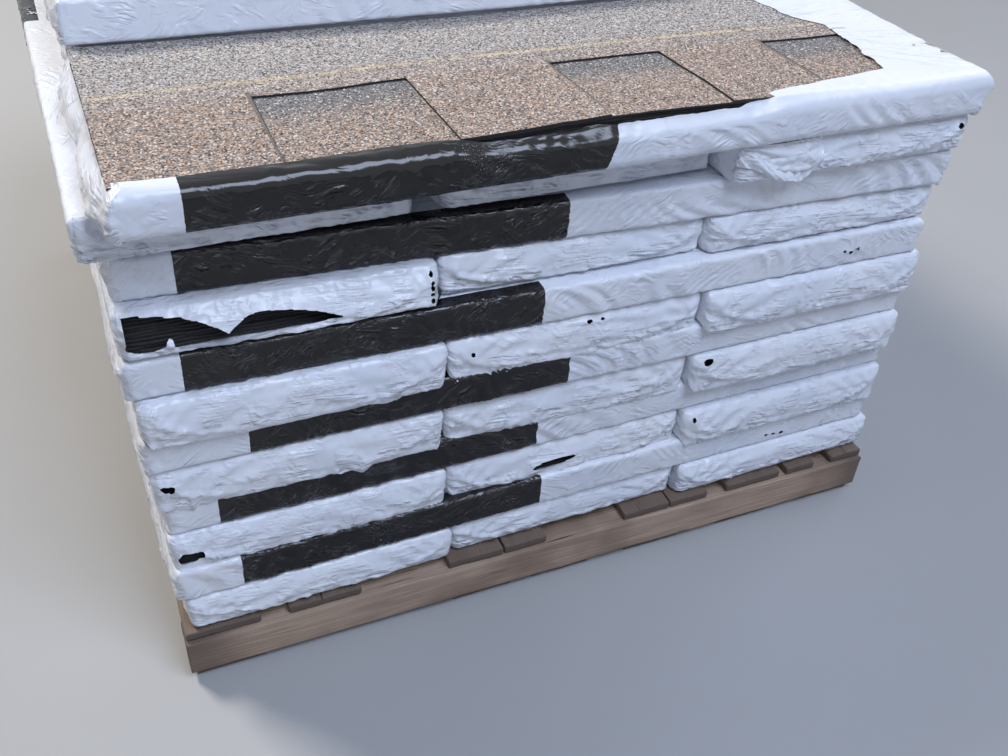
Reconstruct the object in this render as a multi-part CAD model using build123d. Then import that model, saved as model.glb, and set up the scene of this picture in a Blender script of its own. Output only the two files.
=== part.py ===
from build123d import *
import math
import os

os.makedirs("parts", exist_ok=True)

# Frame: origin on the ground under the middle of the pallet, +Z up, in millimetres.
# -Y is the front, where the top bundle lies torn open along the X axis.

# Courses of bundles: three side by side are as wide as one is long, so courses can cross
full_courses = 12
bundles_per_course = 3
row_gap = 2.0
seat_gap = 0.2

# Laminated shingle: an overlay with teeth, bonded on a backing strip of the same felt
shingle_width = 333.4
shingle_length = bundles_per_course * shingle_width
ply_thickness = 2.5
backing_width = 170.0
cutout_depth = 155.0
cutout_taper = 3.0
cutout_starts = (161.0, 498.0, 787.0)
cutout_widths = (166.0, 144.0, 123.0)

# Stack of shingles in one bundle, the ones below the top nested head to tail
shingles_per_bundle = 13
nested_shingle_thickness = 3.2
layer_gap = 0.2

# Film wrap, with its folds and slack counted in its thickness
film_thickness = 1.3
film_clearance = 0.2
film_edge_radius = 5.0
film_end_gather = 5.0
film_end_slope = 12.0
seam_lip_reach = 6.0
seam_lip_thickness = 1.2
seam_lip_inset = 34.0
seam_lip_level = 0.36

# Pallet: its boards run along Y, with their widths and the shares of the spare length
# between them listed from the left end
pallet_side_margin = 1.4
pallet_front_margin = 27.0
stringer_height = 54.0
stringer_width = 44.0
deck_board_thickness = 12.0
bottom_board_thickness = 11.0
board_set_back = 5.0
deck_end_inset = 2.0
deck_board_widths = (92.0, 94.0, 78.0, 62.0, 73.0, 62.0, 93.0, 50.0, 56.0)
deck_gap_shares = (0.096, 0.336, 0.005, 0.340, 0.005, 0.093, 0.037, 0.088)
bottom_end_inset = 8.0
bottom_board_widths = (88.0, 88.0, 88.0, 88.0, 88.0, 88.0)
bottom_gap_shares = (0.529, 0.066, 0.123, 0.142, 0.140)

# How the courses lie, from the bottom up. The odd ones lie across, along Y, with their
# sealed ends in front, and the even ones lie along the front.
load_shift_y = -5.0
course_shift_x = (2.0, -1.0, 0.0, 4.0, -2.0, -6.0, -6.0, -10.0, -6.0, 2.0, -6.0, 1.0)
course_shift_y = (-3.0, 0.0, 4.0, 10.0, 4.0, 5.0, 0.0, 6.0, 20.0, 24.0, 2.0, 2.0)
course_turn = (0.9, 0.7, 0.3, 0.4, -0.2, 0.1, 0.3, -0.5, -0.4, -2.4, 0.3, 0.3)
turn_kept_by_next_row = 0.6
slip_along = (0.0, 7.0, -5.0)
slipped_course_number = 11
slipped_left_by = 26.0
slipped_back_by = (44.0, 40.0, 0.0)

# The part course on top: its front row has been taken away
part_course_shift = (-6.0, 4.0)
part_course_turn = 0.4

# Torn top bundle: the film hangs loose in front of the shingles and is open above them
loose_film_front = 16.0
tear_left_inset = 16.0
tear_front_inset = 15.0
tear_right_inset = 84.0
tear_rag = 9.0
tear_rag_steps = 6

# Torn end in the ninth course, at the left: an opening with a pointed flap hanging in it
torn_course_number = 9
torn_end_width = 232.0
torn_end_low = 7.0
torn_end_high = 43.0
torn_corner_rise = 6.0
torn_right_drop = 8.0
torn_left_drop = 5.0
torn_low_share = 0.4
torn_end_side = 10.0
flap_drop = 19.0
flap_half_width = 36.0
torn_end_reach = 14.0

# Sizes worked out from the ones above
stack_height = 2 * ply_thickness + (shingles_per_bundle - 1) * (nested_shingle_thickness + layer_gap)
film_inset = film_thickness + film_clearance
wrap_length = shingle_length + 2 * film_inset
wrap_width = shingle_width + 2 * film_inset
bundle_height = stack_height + 2 * film_inset
course_pitch = bundle_height + seat_gap
row_pitch = wrap_width + row_gap
load_depth = bundles_per_course * wrap_width + (bundles_per_course - 1) * row_gap
load_front = -load_depth / 2 + load_shift_y
pallet_length = load_depth + 2 * pallet_side_margin
pallet_depth = load_depth + 2 * pallet_front_margin
pallet_height = bottom_board_thickness + stringer_height + deck_board_thickness


def slab(length, width, height):
    """A block on the XY plane, centred on Z and with its base at height zero."""
    return Box(length, width, height, align=(Align.CENTER, Align.CENTER, Align.MIN))


def drawn_in(length, across):
    """Outline of a wrap seen from above or from the side: its four corners are drawn in."""
    end = length / 2 + film_end_gather
    side = across / 2
    corners = [(length / 2, side), (end, side - film_end_slope)]
    corners += [(end, film_end_slope - side), (length / 2, -side)]
    return Polygon(corners + [(-x, -y) for x, y in corners], align=None)


def film_body(length, width):
    """Outside of a wrapped bundle along X: a sleeve with round edges, drawn in at its ends."""
    section = RectangleRounded(width, bundle_height, film_edge_radius)
    body = extrude(Plane.YZ * section, amount=length / 2 + film_end_gather, both=True)
    body &= extrude(Plane.XZ * drawn_in(length, bundle_height), amount=width, both=True)
    body &= extrude(drawn_in(length, width), amount=bundle_height, both=True)
    body = Pos(0, 0, bundle_height / 2) * body
    lip_length = seam_lip_reach + film_end_gather
    lip = slab(lip_length, width - 2 * seam_lip_inset, seam_lip_thickness)
    for side in (-1, 1):
        body += Pos(side * (length + lip_length) / 2, 0, seam_lip_level * bundle_height) * lip
    return body


def cavity(front_slack=0.0):
    """The room that a stack of shingles takes inside its film, with any slack in front."""
    room = slab(
        shingle_length + 2 * film_clearance,
        shingle_width + 2 * film_clearance + front_slack,
        stack_height + 2 * film_clearance,
    )
    return Pos(0, 0, film_thickness) * room


def wrap():
    """Closed film wrap of one bundle."""
    return film_body(wrap_length, wrap_width) - cavity()


def ragged_edge(x, y_from, y_to):
    """Points of a torn film edge that runs along Y at x, in and out by the rag."""
    points = []
    for step in range(tear_rag_steps + 1):
        reach = tear_rag * math.sin(2.4 * step) * (1 if step % 2 else 0.4)
        points.append((x + reach, y_from + (y_to - y_from) * step / tear_rag_steps))
    return points


def torn_top_wrap():
    """Film of the torn top bundle: a tray, still closed over the right end."""
    width = wrap_width + loose_film_front
    tray = film_body(wrap_length, width) - cavity(loose_film_front)
    front = -width / 2 + tear_front_inset
    back = width / 2 + 1
    left = -wrap_length / 2 + tear_left_inset
    right = wrap_length / 2 - tear_right_inset
    outline = Polyline([(left, back), (left, front)] + ragged_edge(right, front, back) + [(left, back)])
    opening = extrude(make_face(outline), amount=bundle_height)
    return tray - Pos(0, 0, film_thickness + stack_height) * opening


def torn_end_wrap():
    """Film of the bundle with the torn end at -X: the hole shows the edges of the shingles."""
    half = torn_end_width / 2
    tip = torn_end_high - flap_drop
    low_point = (half * torn_low_share, torn_end_low)
    high_point = (-half, torn_end_high - torn_right_drop)
    corner = (half, torn_end_low + torn_corner_rise)
    flap = [(-flap_half_width, torn_end_high), (0, tip)]
    flap.append((flap_half_width, torn_end_high - torn_left_drop))
    outline = Spline(corner, low_point, high_point)
    outline += Polyline([high_point] + flap + [(half, torn_end_high), corner])
    hole = extrude(make_face(Plane.YZ * outline), amount=torn_end_reach + film_inset)
    across = (wrap_width - torn_end_width) / 2 - torn_end_side
    return wrap() - Pos(-wrap_length / 2 - torn_end_reach, across, 0) * hole


def shingle_stack(count):
    """Flat shingles on one another, up from the film's floor, as solids that don't touch."""
    sheet = slab(shingle_length, shingle_width, nested_shingle_thickness)
    pitch = nested_shingle_thickness + layer_gap
    return [Pos(0, 0, film_inset + level * pitch) * sheet for level in range(count)]


def core():
    """One plain block for the stack of shingles inside a closed wrap."""
    return Pos(0, 0, film_inset) * slab(shingle_length, shingle_width, stack_height)


def top_shingle():
    """The overlay with its teeth, and the backing strip under it that the cutouts show."""
    base = film_inset + (shingles_per_bundle - 1) * (nested_shingle_thickness + layer_gap)
    overlay = slab(shingle_length, shingle_width, ply_thickness)
    for start, opening in zip(cutout_starts, cutout_widths):
        left = start - shingle_length / 2
        butt = -shingle_width / 2
        cut = Polygon(
            (left - cutout_taper, butt - 1),
            (left + opening + cutout_taper, butt - 1),
            (left + opening, butt + cutout_depth),
            (left, butt + cutout_depth),
            align=None,
        )
        overlay -= extrude(cut, amount=ply_thickness)
    backing = slab(shingle_length, backing_width, ply_thickness)
    backing_y = (backing_width - shingle_width) / 2
    return Pos(0, 0, base + ply_thickness) * overlay, Pos(0, backing_y, base) * backing


def along_places(shift_x, shift_y, turn):
    """Places of the rows of a course that lies along X, each row turned less than the last."""
    places = []
    y = load_front + shift_y + wrap_width / 2
    for row in range(bundles_per_course):
        slip = slip_along[row] if row else 0.0
        places.append(Pos(shift_x + slip, y, 0) * Rot(0, 0, turn))
        next_turn = turn * turn_kept_by_next_row
        fan = wrap_length / 2 * math.sin(math.radians(abs(turn - next_turn)))
        y += row_pitch + fan
        turn = next_turn
    return places


def across_places(shift_x, shift_y, turn, slipped):
    """Places of the bundles of a course that lies along Y, side by side and turned as one."""
    centre_y = load_front + shift_y + load_depth / 2
    course = Pos(shift_x, centre_y, 0) * Rot(0, 0, turn)
    places = []
    for column in range(bundles_per_course):
        across = (column - (bundles_per_course - 1) / 2) * row_pitch
        back = slip_along[column]
        if slipped:
            across -= slipped_left_by if column == 0 else 0.0
            back += slipped_back_by[column]
        places.append(course * Pos(across, back, 0) * Rot(0, 0, 90))
    return places


def course_places(course):
    """Places of the bundles of one full course, counted from 1 at the bottom."""
    level = Pos(0, 0, pallet_height + seat_gap + (course - 1) * course_pitch)
    shift_x = course_shift_x[course - 1]
    shift_y = course_shift_y[course - 1]
    turn = course_turn[course - 1]
    if course % 2:
        found = across_places(shift_x, shift_y, turn, course == slipped_course_number)
    else:
        found = along_places(shift_x, shift_y, turn)
    return [level * place for place in found]


def board_row(widths, gap_shares, end_inset, thickness):
    """Boards along Y that fill the pallet's length, with the spare length shared between them."""
    spare = pallet_length - 2 * end_inset - sum(widths)
    boards = []
    x = end_inset - pallet_length / 2
    for width, share in zip(widths, gap_shares + (0.0,)):
        boards.append(Pos(x + width / 2, 0, 0) * slab(width, board_length, thickness))
        x += width + share * spare / sum(gap_shares)
    return boards


def save(solids, name):
    """Write one node, made of one solid or of several that don't touch."""
    shape = solids[0] if len(solids) == 1 else Compound(children=solids)
    export_step(shape, f"parts/{name}.step")


# Pallet: three stringers along X, deck boards on them and bottom boards under them
stringer_y = (pallet_depth - stringer_width) / 2
for name, y in (("front", -stringer_y), ("middle", 0.0), ("back", stringer_y)):
    timber = slab(pallet_length, stringer_width, stringer_height)
    save([Pos(0, y, bottom_board_thickness) * timber], f"{name}_stringer")

board_length = pallet_depth - 2 * board_set_back
deck_level = bottom_board_thickness + stringer_height
deck = board_row(deck_board_widths, deck_gap_shares, deck_end_inset, deck_board_thickness)
for index, board in enumerate(deck, 1):
    save([Pos(0, 0, deck_level) * board], f"deck_board_{index}")
bottom = board_row(bottom_board_widths, bottom_gap_shares, bottom_end_inset, bottom_board_thickness)
for index, board in enumerate(bottom, 1):
    save([board], f"bottom_board_{index}")

# Full courses: film wraps in one node and the shingles inside them in another
closed_wrap = wrap()
closed_core = core()
for course in range(1, full_courses + 1):
    places = course_places(course)
    if course == torn_course_number:
        save([places[0] * torn_end_wrap()], "torn_end_wrap")
        save([places[0] * sheet for sheet in shingle_stack(shingles_per_bundle)], "torn_end_shingles")
        places = places[1:]
    if course == full_courses:
        film_place = places[0] * Pos(0, -loose_film_front / 2, 0)
        save([film_place * torn_top_wrap()], "torn_top_wrap")
        lower_sheets = shingle_stack(shingles_per_bundle - 1)
        save([places[0] * sheet for sheet in lower_sheets], "torn_top_shingles")
        overlay, backing = top_shingle()
        save([places[0] * overlay], "top_shingle_overlay")
        save([places[0] * backing], "top_shingle_backing")
        places = places[1:]
    save([place * closed_wrap for place in places], f"course_{course:02d}_wraps")
    save([place * closed_core for place in places], f"course_{course:02d}_shingles")

# Part course: the middle and back rows only
part_level = Pos(0, 0, pallet_height + seat_gap + full_courses * course_pitch)
part_places = along_places(*part_course_shift, part_course_turn)[1:]
save([part_level * place * closed_wrap for place in part_places], "course_13_wraps")
save([part_level * place * closed_core for place in part_places], "course_13_shingles")
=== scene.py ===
# %% [markdown]
# This lesson dresses a pallet load of roofing shingles: bundles in crinkled white film, laid crosswise
# in courses, with the top one torn open. The CAD frame gives every bundle and board its place and size.
# Blender gives each surface its creases, grit and grain. Lengths in the code are millimetres, and one
# helper turns them to metres when it makes a mesh.

# %% Load the frame
import math
from types import SimpleNamespace

import bpy
import numpy as np
from mathutils import Matrix, Vector


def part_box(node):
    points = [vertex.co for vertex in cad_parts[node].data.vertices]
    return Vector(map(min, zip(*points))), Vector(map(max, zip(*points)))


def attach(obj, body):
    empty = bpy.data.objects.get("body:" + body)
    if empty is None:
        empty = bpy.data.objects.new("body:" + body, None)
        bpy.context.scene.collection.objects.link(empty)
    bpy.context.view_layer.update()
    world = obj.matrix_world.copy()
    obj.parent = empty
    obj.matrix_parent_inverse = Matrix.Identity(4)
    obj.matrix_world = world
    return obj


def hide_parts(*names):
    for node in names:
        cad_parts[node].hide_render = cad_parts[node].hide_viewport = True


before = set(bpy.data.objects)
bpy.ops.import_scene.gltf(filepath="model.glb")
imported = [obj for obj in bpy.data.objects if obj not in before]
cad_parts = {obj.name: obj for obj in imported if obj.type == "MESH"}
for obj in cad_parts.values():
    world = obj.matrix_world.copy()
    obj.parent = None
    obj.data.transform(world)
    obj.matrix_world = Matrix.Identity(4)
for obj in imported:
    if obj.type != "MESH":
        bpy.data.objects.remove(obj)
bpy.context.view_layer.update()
METRE = 1000.0
print("nodes in the frame:", len(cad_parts))

# %% [markdown]
# Film creases, saw marks and felt edges are all irregular. A lattice noise with an integer hash gives
# the same values on every run and on every machine, and numpy works it out for a whole mesh at once,
# which a noise texture with a Displace modifier could do only in one direction and one scale.

# %% Noise for relief
def lattice_random(x, y, z, seed):
    """A fixed random number between -1 and 1 for each whole-number lattice point."""
    mixed = (x * 73856093) ^ (y * 19349663) ^ (z * 83492791) ^ (seed * 2654435761)
    mixed = (mixed ^ (mixed >> 13)) * 1274126177 & 0x7FFFFFFF
    return ((mixed >> 7) & 0xFFFF) / 32767.5 - 1.0


def noise(x, y, z=0.0, seed=0):
    """Smooth noise between -1 and 1 with one swell to about each unit."""
    x, y, z = np.broadcast_arrays(np.asarray(x, float), np.asarray(y, float), np.asarray(z, float))
    cells = [np.floor(part).astype(np.int64) for part in (x, y, z)]
    ease = [part - cell for part, cell in zip((x, y, z), cells)]
    ease = [part * part * (3 - 2 * part) for part in ease]
    total = np.zeros(x.shape)
    for i in (0, 1):
        for j in (0, 1):
            for k in (0, 1):
                weight = (ease[0] if i else 1 - ease[0]) * (ease[1] if j else 1 - ease[1])
                weight = weight * (ease[2] if k else 1 - ease[2])
                total += weight * lattice_random(cells[0] + i, cells[1] + j, cells[2] + k, seed)
    return total


def crease(x, y, z=0.0, seed=0, sharpness=3.0):
    """Narrow ridges between 0 and 1 where the noise crosses zero, like folds in film."""
    return np.clip(1 - 2.2 * np.abs(noise(x, y, z, seed)), 0, 1) ** sharpness


def smooth_step(x):
    """Rises smoothly from 0 to 1 as x does."""
    x = np.clip(x, 0, 1)
    return x * x * (3 - 2 * x)


# %% [markdown]
# Every mesh here comes from arrays, so one helper makes the object, shades it smooth, stores the
# values that its material reads, and gives it its finish. A generic attribute stays with the surface,
# where a camera-based coordinate would slide over it.

# %% Mesh helper
def add_piece(name, points, faces, finishes, values=None, smooth=True, face_finish=None):
    """Makes a piece that rides on the load from points in millimetres and rows of point numbers."""
    mesh = bpy.data.meshes.new(name)
    mesh.from_pydata((np.asarray(points, float) / METRE).tolist(), [], [list(face) for face in faces])
    for finish in finishes:
        mesh.materials.append(finish)
    for key, rows in (values or {}).items():
        store = mesh.attributes.new(key, "FLOAT_VECTOR", "POINT")
        store.data.foreach_set("vector", np.asarray(rows, np.float32).ravel())
    if face_finish is not None:
        mesh.polygons.foreach_set("material_index", np.asarray(face_finish, np.int32))
    mesh.polygons.foreach_set("use_smooth", np.full(len(mesh.polygons), smooth))
    mesh.update()
    piece = bpy.data.objects.new(name, mesh)
    bpy.context.scene.collection.objects.link(piece)
    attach(piece, "root")
    return piece


def joined(parts):
    """Points, faces and values of several meshes as one. Each part is (points, faces, values)."""
    points, faces, values, start = [], [], {}, 0
    for part_points, part_faces, part_values in parts:
        points.append(part_points)
        faces.extend([[corner + start for corner in face] for face in part_faces])
        for key, rows in part_values.items():
            values.setdefault(key, []).append(rows)
        start += len(part_points)
    return np.concatenate(points), faces, {key: np.concatenate(rows) for key, rows in values.items()}


def grid_faces(rows, columns, start=0, keep=None):
    """Quads of a grid of points stored row by row. keep says which cells stay."""
    corner = np.arange(rows * columns).reshape(rows, columns) + start
    quads = np.stack([corner[:-1, :-1], corner[:-1, 1:], corner[1:, 1:], corner[1:, :-1]], axis=-1)
    quads = quads.reshape(-1, 4) if keep is None else quads[keep]
    return quads.tolist()


# %% [markdown]
# The stacks of shingles in the frame are plain blocks, and those of one course share a node. Their
# corners tell where each bundle lies, so nothing here repeats a place from the CAD source. Faces that
# share a corner belong to one block, and spreading the lowest number from face to face finds them.

# %% Separate the blocks of a node
FILM_INSET = 1.5
COURSES = range(1, 14)
TORN_END_COURSE = 9
TORN_TOP_COURSE = 12
PART_COURSE = 13
UP = np.array([0.0, 0.0, 1.0])
SAME_CORNER = 5.0


def blocks_of(node):
    """Corner points of each separate block of a CAD node, in millimetres."""
    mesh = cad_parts[node].data
    points = np.array([vertex.co[:] for vertex in mesh.vertices]) * METRE
    spots, spot_of = np.unique(np.round(points, 1), axis=0, return_inverse=True)
    spot_of = spot_of.ravel()
    group = np.arange(len(spots))
    changed = True
    while changed:
        changed = False
        for face in mesh.polygons:
            members = spot_of[list(face.vertices)]
            lowest = group[members].min()
            if (group[members] != lowest).any():
                group[members] = lowest
                changed = True
    return [spots[group == number] for number in np.unique(group)]


# %% [markdown]
# A block's footprint gives its length, its width and how far it is turned. A bundle's own axes run
# along its length and across it, so every later measure is told from the middle of its bundle.

# %% Measure a block
def bundle_from(corners):
    """Centre, axes and sizes of a block, with its length axis towards +X or +Y."""
    low, high = corners[:, 2].min(), corners[:, 2].max()
    foot = np.unique(np.round(corners[:, :2], 1), axis=0)
    centre = np.array([*foot.mean(axis=0), (low + high) / 2])
    reach = np.linalg.norm(foot - foot[0], axis=1)
    width = reach[reach > SAME_CORNER].min()
    length = reach[reach > width + SAME_CORNER].min()
    along = (foot[np.argmin(np.abs(reach - length))] - foot[0]) / length
    if along.sum() < 0:
        along = -along
    along = np.array([along[0], along[1], 0.0])
    return {
        "centre": centre, "along": along, "across": np.cross(UP, along),
        "length": length, "width": width, "height": high - low,
    }


def to_load(bundle, x, y, z):
    """Points in a bundle's own axes, moved to its place in the load."""
    spot = bundle["centre"] + np.multiply.outer(x, bundle["along"]) + np.multiply.outer(y, bundle["across"])
    return spot + np.multiply.outer(z, UP)


def lies_along(bundle):
    return abs(bundle["along"][0]) > 0.5


def node_name(course, kind):
    return f"course_{course:02d}_{kind}"


# %% [markdown]
# The bundles of a course are sorted from front to back or from left to right. Two torn bundles are
# modelled sheet by sheet in the frame, and each counts as one block for its wrap.

# %% Read the bundles from the frame
bundles = {}
for course in COURSES:
    blocks = [bundle_from(corners) for corners in blocks_of(node_name(course, "shingles"))]
    axis = 1 if lies_along(blocks[0]) else 0
    bundles[course] = sorted(blocks, key=lambda block: block["centre"][axis])
torn_end_sheets = [bundle_from(corners) for corners in blocks_of("torn_end_shingles")]
torn_top_sheets = [bundle_from(corners) for corners in blocks_of("torn_top_shingles")]
CORE_HEIGHT = bundles[1][0]["height"]


def bundle_of_sheets(sheets):
    """The bundle whose shingles are modelled one by one, as if it were one block."""
    floor = min(sheet["centre"][2] - sheet["height"] / 2 for sheet in sheets)
    whole = dict(sheets[0])
    whole["height"] = CORE_HEIGHT
    whole["centre"] = np.array([*sheets[0]["centre"][:2], floor + CORE_HEIGHT / 2])
    return whole


torn_end_bundle = bundle_of_sheets(torn_end_sheets)
torn_top_bundle = bundle_of_sheets(torn_top_sheets)
DECK_TOP = bundles[1][0]["centre"][2] - CORE_HEIGHT / 2 - FILM_INSET
LOAD_TOP = torn_top_bundle["centre"][2] + CORE_HEIGHT / 2
print("bundles:", sum(len(course) for course in bundles.values()) + 2, "deck at", round(DECK_TOP, 1))

# %% [markdown]
# A tall load settles a little, and more the higher a bundle lies. One slow swell of the whole load does
# that to every piece alike, so neighbours keep touching and nothing is cut.

# %% Settle the load
SETTLE_DEPTH = 3.2
SETTLE_SPAN, SETTLE_RISE = 420.0, 400.0


def settled(points):
    """The points, lowered or raised by the slow swell of the load."""
    points = np.array(points, float)
    share = np.clip((points[:, 2] - DECK_TOP) / (LOAD_TOP - DECK_TOP), 0, 1.2)
    swell = noise(*(points / (SETTLE_SPAN, SETTLE_SPAN, SETTLE_RISE)).T, seed=3)
    points[:, 2] += share * SETTLE_DEPTH * swell
    return points


# %% [markdown]
# The wrap is a tube of thin polyethylene film, pulled tight round the bundle and gathered at both ends.
# Its relief could be simulated as cloth, but thirty-eight wraps would take many minutes. So each wrap
# is a band of points: samples round the bundle seen from above, times a profile from the top over the
# edge to the underside. Only the sides that show get close samples, which keeps the mesh small.

# %% Sample the outline of a wrap
CORNER_RADIUS = 6.5
EDGE_RADIUS = 6.0
FINE_STEP = 2.8
PLAIN_STEP = 8.0
PLAIN_ROW_STEP = 4.5
HIDDEN_STEP = 70.0
CORNERS = [(-1, 1), (-1, -1), (1, -1), (1, 1)]
NORMALS = [(-1, 0), (0, -1), (1, 0), (0, 1)]
LEFT_END, NEAR_SIDE, RIGHT_END, FAR_SIDE = 0, 1, 2, 3


def outline(length, width, steps, first):
    """Samples round a bundle, anticlockwise from above, starting at side number first."""
    rows = []
    for turn in range(4):
        side = (first + turn) % 4
        begin, end = CORNERS[side], CORNERS[(side + 1) % 4]
        span = (width if side in (LEFT_END, RIGHT_END) else length) - 2 * CORNER_RADIUS
        count = max(2, round(span / steps[side]))
        for i in range(count + 1):
            rows.append((side, *begin, *end, i / count, *NORMALS[side]))
        arc = 4 if min(steps[side], steps[(side + 1) % 4]) < HIDDEN_STEP else 2
        for i in range(1, arc):
            angle = math.atan2(NORMALS[side][1], NORMALS[side][0]) + math.pi / 2 * i / arc
            rows.append((side, *end, *end, 0.0, math.cos(angle), math.sin(angle)))
    rows.append(rows[0])
    return np.array(rows)


# %% [markdown]
# The profile runs from the film on top, over the rounded edge, down the side and under the bundle.
# Each row also knows how much of the hem's hang and of the side's bulge it takes.

# %% Profile of a wrap
def profile(height, step, top_rows, bottom_rows, radius=EDGE_RADIUS):
    """Rows from the inner top edge down: inset, height, normal, share of a margin, its kind, hang, bulge."""
    rows = [(radius, height / 2, 0.0, 1.0, share, 1, 0.0, 0.0) for share in top_rows]
    half = height / 2
    for angle in np.radians([90, 67, 45, 22]):
        rows.append((radius * (1 - math.cos(angle)), half - radius * (1 - math.sin(angle)),
                     math.cos(angle), math.sin(angle), 0.0, 0, 0.0, 0.1 * math.cos(angle)))
    count = round((height - 2 * radius) / step)
    for share in np.linspace(0, 1, count + 1):
        level = half - radius - (height - 2 * radius) * share
        rows.append((0.0, level, 1.0, 0.0, 0.0, 0, share ** 1.6, 0.1 + 0.9 * share ** 0.8))
    for angle, hang, bulge in ((-22, 0.98, 0.9), (-45, 0.8, 0.62), (-67, 0.3, 0.35), (-90, 0.0, 0.0)):
        angle = math.radians(angle)
        rows.append((radius * (1 - math.cos(angle)), -half + radius * (1 + math.sin(angle)),
                     math.cos(angle), math.sin(angle), 0.0, 0, hang, bulge))
    rows += [(radius, -half, 0.0, -1.0, share, -1, 0.0, 0.0) for share in bottom_rows]
    return np.array(rows)


# %% [markdown]
# Film under tension doesn't ripple like cloth. It breaks into flat facets that meet in sharp lines, so
# the folds of a long side are triangle waves and not rounded ones. Noise bends the waves, and fades
# each fold in and out. Long sides are taut, with short slanting folds that fan out where it pulls.

# %% Folds of a long side
def pleats(across, along, spacing, reach, seed, bend=0.9):
    """Sharp folds between -1 and 1, a spacing apart, that come and go within a reach."""
    phase = across / spacing + bend * noise(across / (3 * spacing), along / reach, seed=seed)
    wave = 1 - 4 * np.abs(phase - np.floor(phase) - 0.5)
    shown = smooth_step(0.5 + 1.1 * noise(across / (1.6 * spacing), along / (0.8 * reach), seed=seed + 1))
    return wave * shown


def side_relief(right, height, seed, strength):
    """Millimetres that a long side stands out, from its place to the right and its height."""
    slow = 1.2 * noise(right / 120, height / 55, seed=seed)
    slow = slow + 0.5 * noise(right / 38, height / 30, seed=seed + 1)
    fan = 1.1 * noise(right / 130, 0.4, seed=seed + 2)
    rising = right + height * (0.8 + fan)
    falling = right - height * (1.1 - fan)
    patches = smooth_step(0.5 + 1.3 * noise(right / 65, height / 60, seed=seed + 3))
    folds = patches * pleats(rising, height, 12.5, 26, seed + 4, 1.7)
    folds = folds + (1 - patches) * pleats(falling, height, 16, 30, seed + 6, 1.7)
    broad = pleats(rising, height, 41, 60, seed + 8, 1.4)
    fine = pleats(falling, height, 7, 14, seed + 10)
    return slow + strength * (1.2 * folds + 1.7 * broad + 0.4 * fine)


# %% [markdown]
# Ends are gathered. A flap of film folds down from the top and stops at a ragged lip, which climbs
# towards the corners. Where a corner was tucked in, rounded folds spread from it over the end.

# %% Lip and corner folds of a gathered end
def seam_height(right, width, seed):
    """Height of the flap's lower edge, which climbs towards both corners."""
    beside = np.clip((np.abs(right) / (width / 2) - 0.35) / 0.65, 0, 1)
    climb = 16 + 16 * np.sign(right) * noise(0.3, 0.7, seed=seed + 9)
    rag = 3.5 * noise(right / 60, 0.3, seed=seed) + 1.3 * noise(right / 11, 0.7, seed=seed + 1)
    return -13 + climb * beside ** 1.5 + rag


def fan(right, height, corner, width, seed):
    """Rounded folds that spread from a lower corner of the end, where the film was tucked."""
    away_x = np.abs(right - corner * (width / 2 + 12)) + 1
    away_y = height + 34
    reach = np.hypot(away_x, away_y)
    turn = np.arctan2(away_y, away_x)
    fold = np.sin(30 * turn + 2.2 * noise(reach / 60, turn * 3, seed=seed))
    return fold * np.clip(reach / 90, 0.25, 1.0) * smooth_step((250 - away_x) / 160)


# %% [markdown]
# The flap is fairly smooth, with rounded lengthwise folds. The film under its lip is crumpled in small
# facets, and beside each corner a tucked pleat leaves a thin curved ridge. The top of a bundle that
# lies in the load is almost flat, and only one that shows has slack folds.

# %% Relief of an end and of the top
def end_relief(right, height, width, tall, seed):
    """Millimetres that a gathered end stands out: dome, flap, lip, crumple and tucked pleats."""
    across = np.abs(right) / (width / 2)
    dome = 2.0 * (1 - np.clip(np.abs(height) / (tall / 2), 0, 1) ** 2) * (1 - np.clip(across, 0, 1) ** 5)
    seam = seam_height(right, width, seed)
    flap = smooth_step((height - seam) / 2.0 + 0.5)
    drift = height + 0.1 * noise(0.2, 0.9, seed=seed + 8) * right + 5 * noise(right / 80, 0.2, seed=seed + 2)
    folds = np.sin(2 * math.pi * drift / 15 + 1.8 * noise(right / 90, height / 12, seed=seed + 3))
    shown = smooth_step(0.5 + 1.2 * noise(right / 110, height / 14, seed=seed + 4))
    fans = fan(right, height, -1, width, seed + 5) + 0.8 * fan(right, height, 1, width, seed + 6)
    flap_folds = 0.9 * folds * shown + 1.5 * fans + 0.2 * pleats(drift, right, 6.0, 45, seed + 7)
    tangle = height + 0.4 * right * noise(right / 60, 0.8, seed=seed + 9)
    crumple = 1.3 * pleats(tangle, right, 7.0, 60, seed + 11)
    crumple = crumple + 0.9 * pleats(drift - 0.15 * right, right, 11, 45, seed + 12)
    crumple = crumple + 0.5 * pleats(right, height, 15, 12, seed + 13)
    crumple = crumple + 0.45 * pleats(right - height, height, 8, 9, seed + 15)
    below = seam - height
    lip = 4.0 * np.exp(-((below - 2.5) / 2.4) ** 2) * (0.75 + 0.5 * noise(right / 9, 0.1, seed=seed + 7))
    crease_line = -2.2 * np.exp(-((below + 2.0) / 1.5) ** 2)
    tucks = 0.0
    for side, amount in ((-1, 1.0), (1, 0.8)):
        middle = side * (width / 2 - 96)
        ring = np.hypot((right - middle) / 80, (height - 12) / 24)
        arc = np.exp(-((ring - 1) * 24 / 1.9) ** 2) * smooth_step(side * (right - middle) / 20 + 0.6)
        tucks = tucks + 3.4 * amount * arc * smooth_step((12 - height) / 8 + 0.7)
    relief = dome + flap * (2.8 + 0.8 * flap_folds) + (1 - flap) * (0.85 * crumple - 0.8)
    return relief + lip + crease_line + tucks


def top_relief(x, y, seed, shown):
    """Millimetres that the film stands off the top of the stack."""
    if not shown:
        return -0.35 + 0.25 * noise(x / 30, y / 30, seed=seed)
    turned = x * 0.35 + y
    slack = 1.0 * pleats(turned, x, 34, 120, seed) + 0.7 * pleats(x - 0.6 * y, y, 22, 60, seed + 2)
    return slack + 1.2 * noise(x / 120, y / 80, seed=seed + 2) + 0.4


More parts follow.
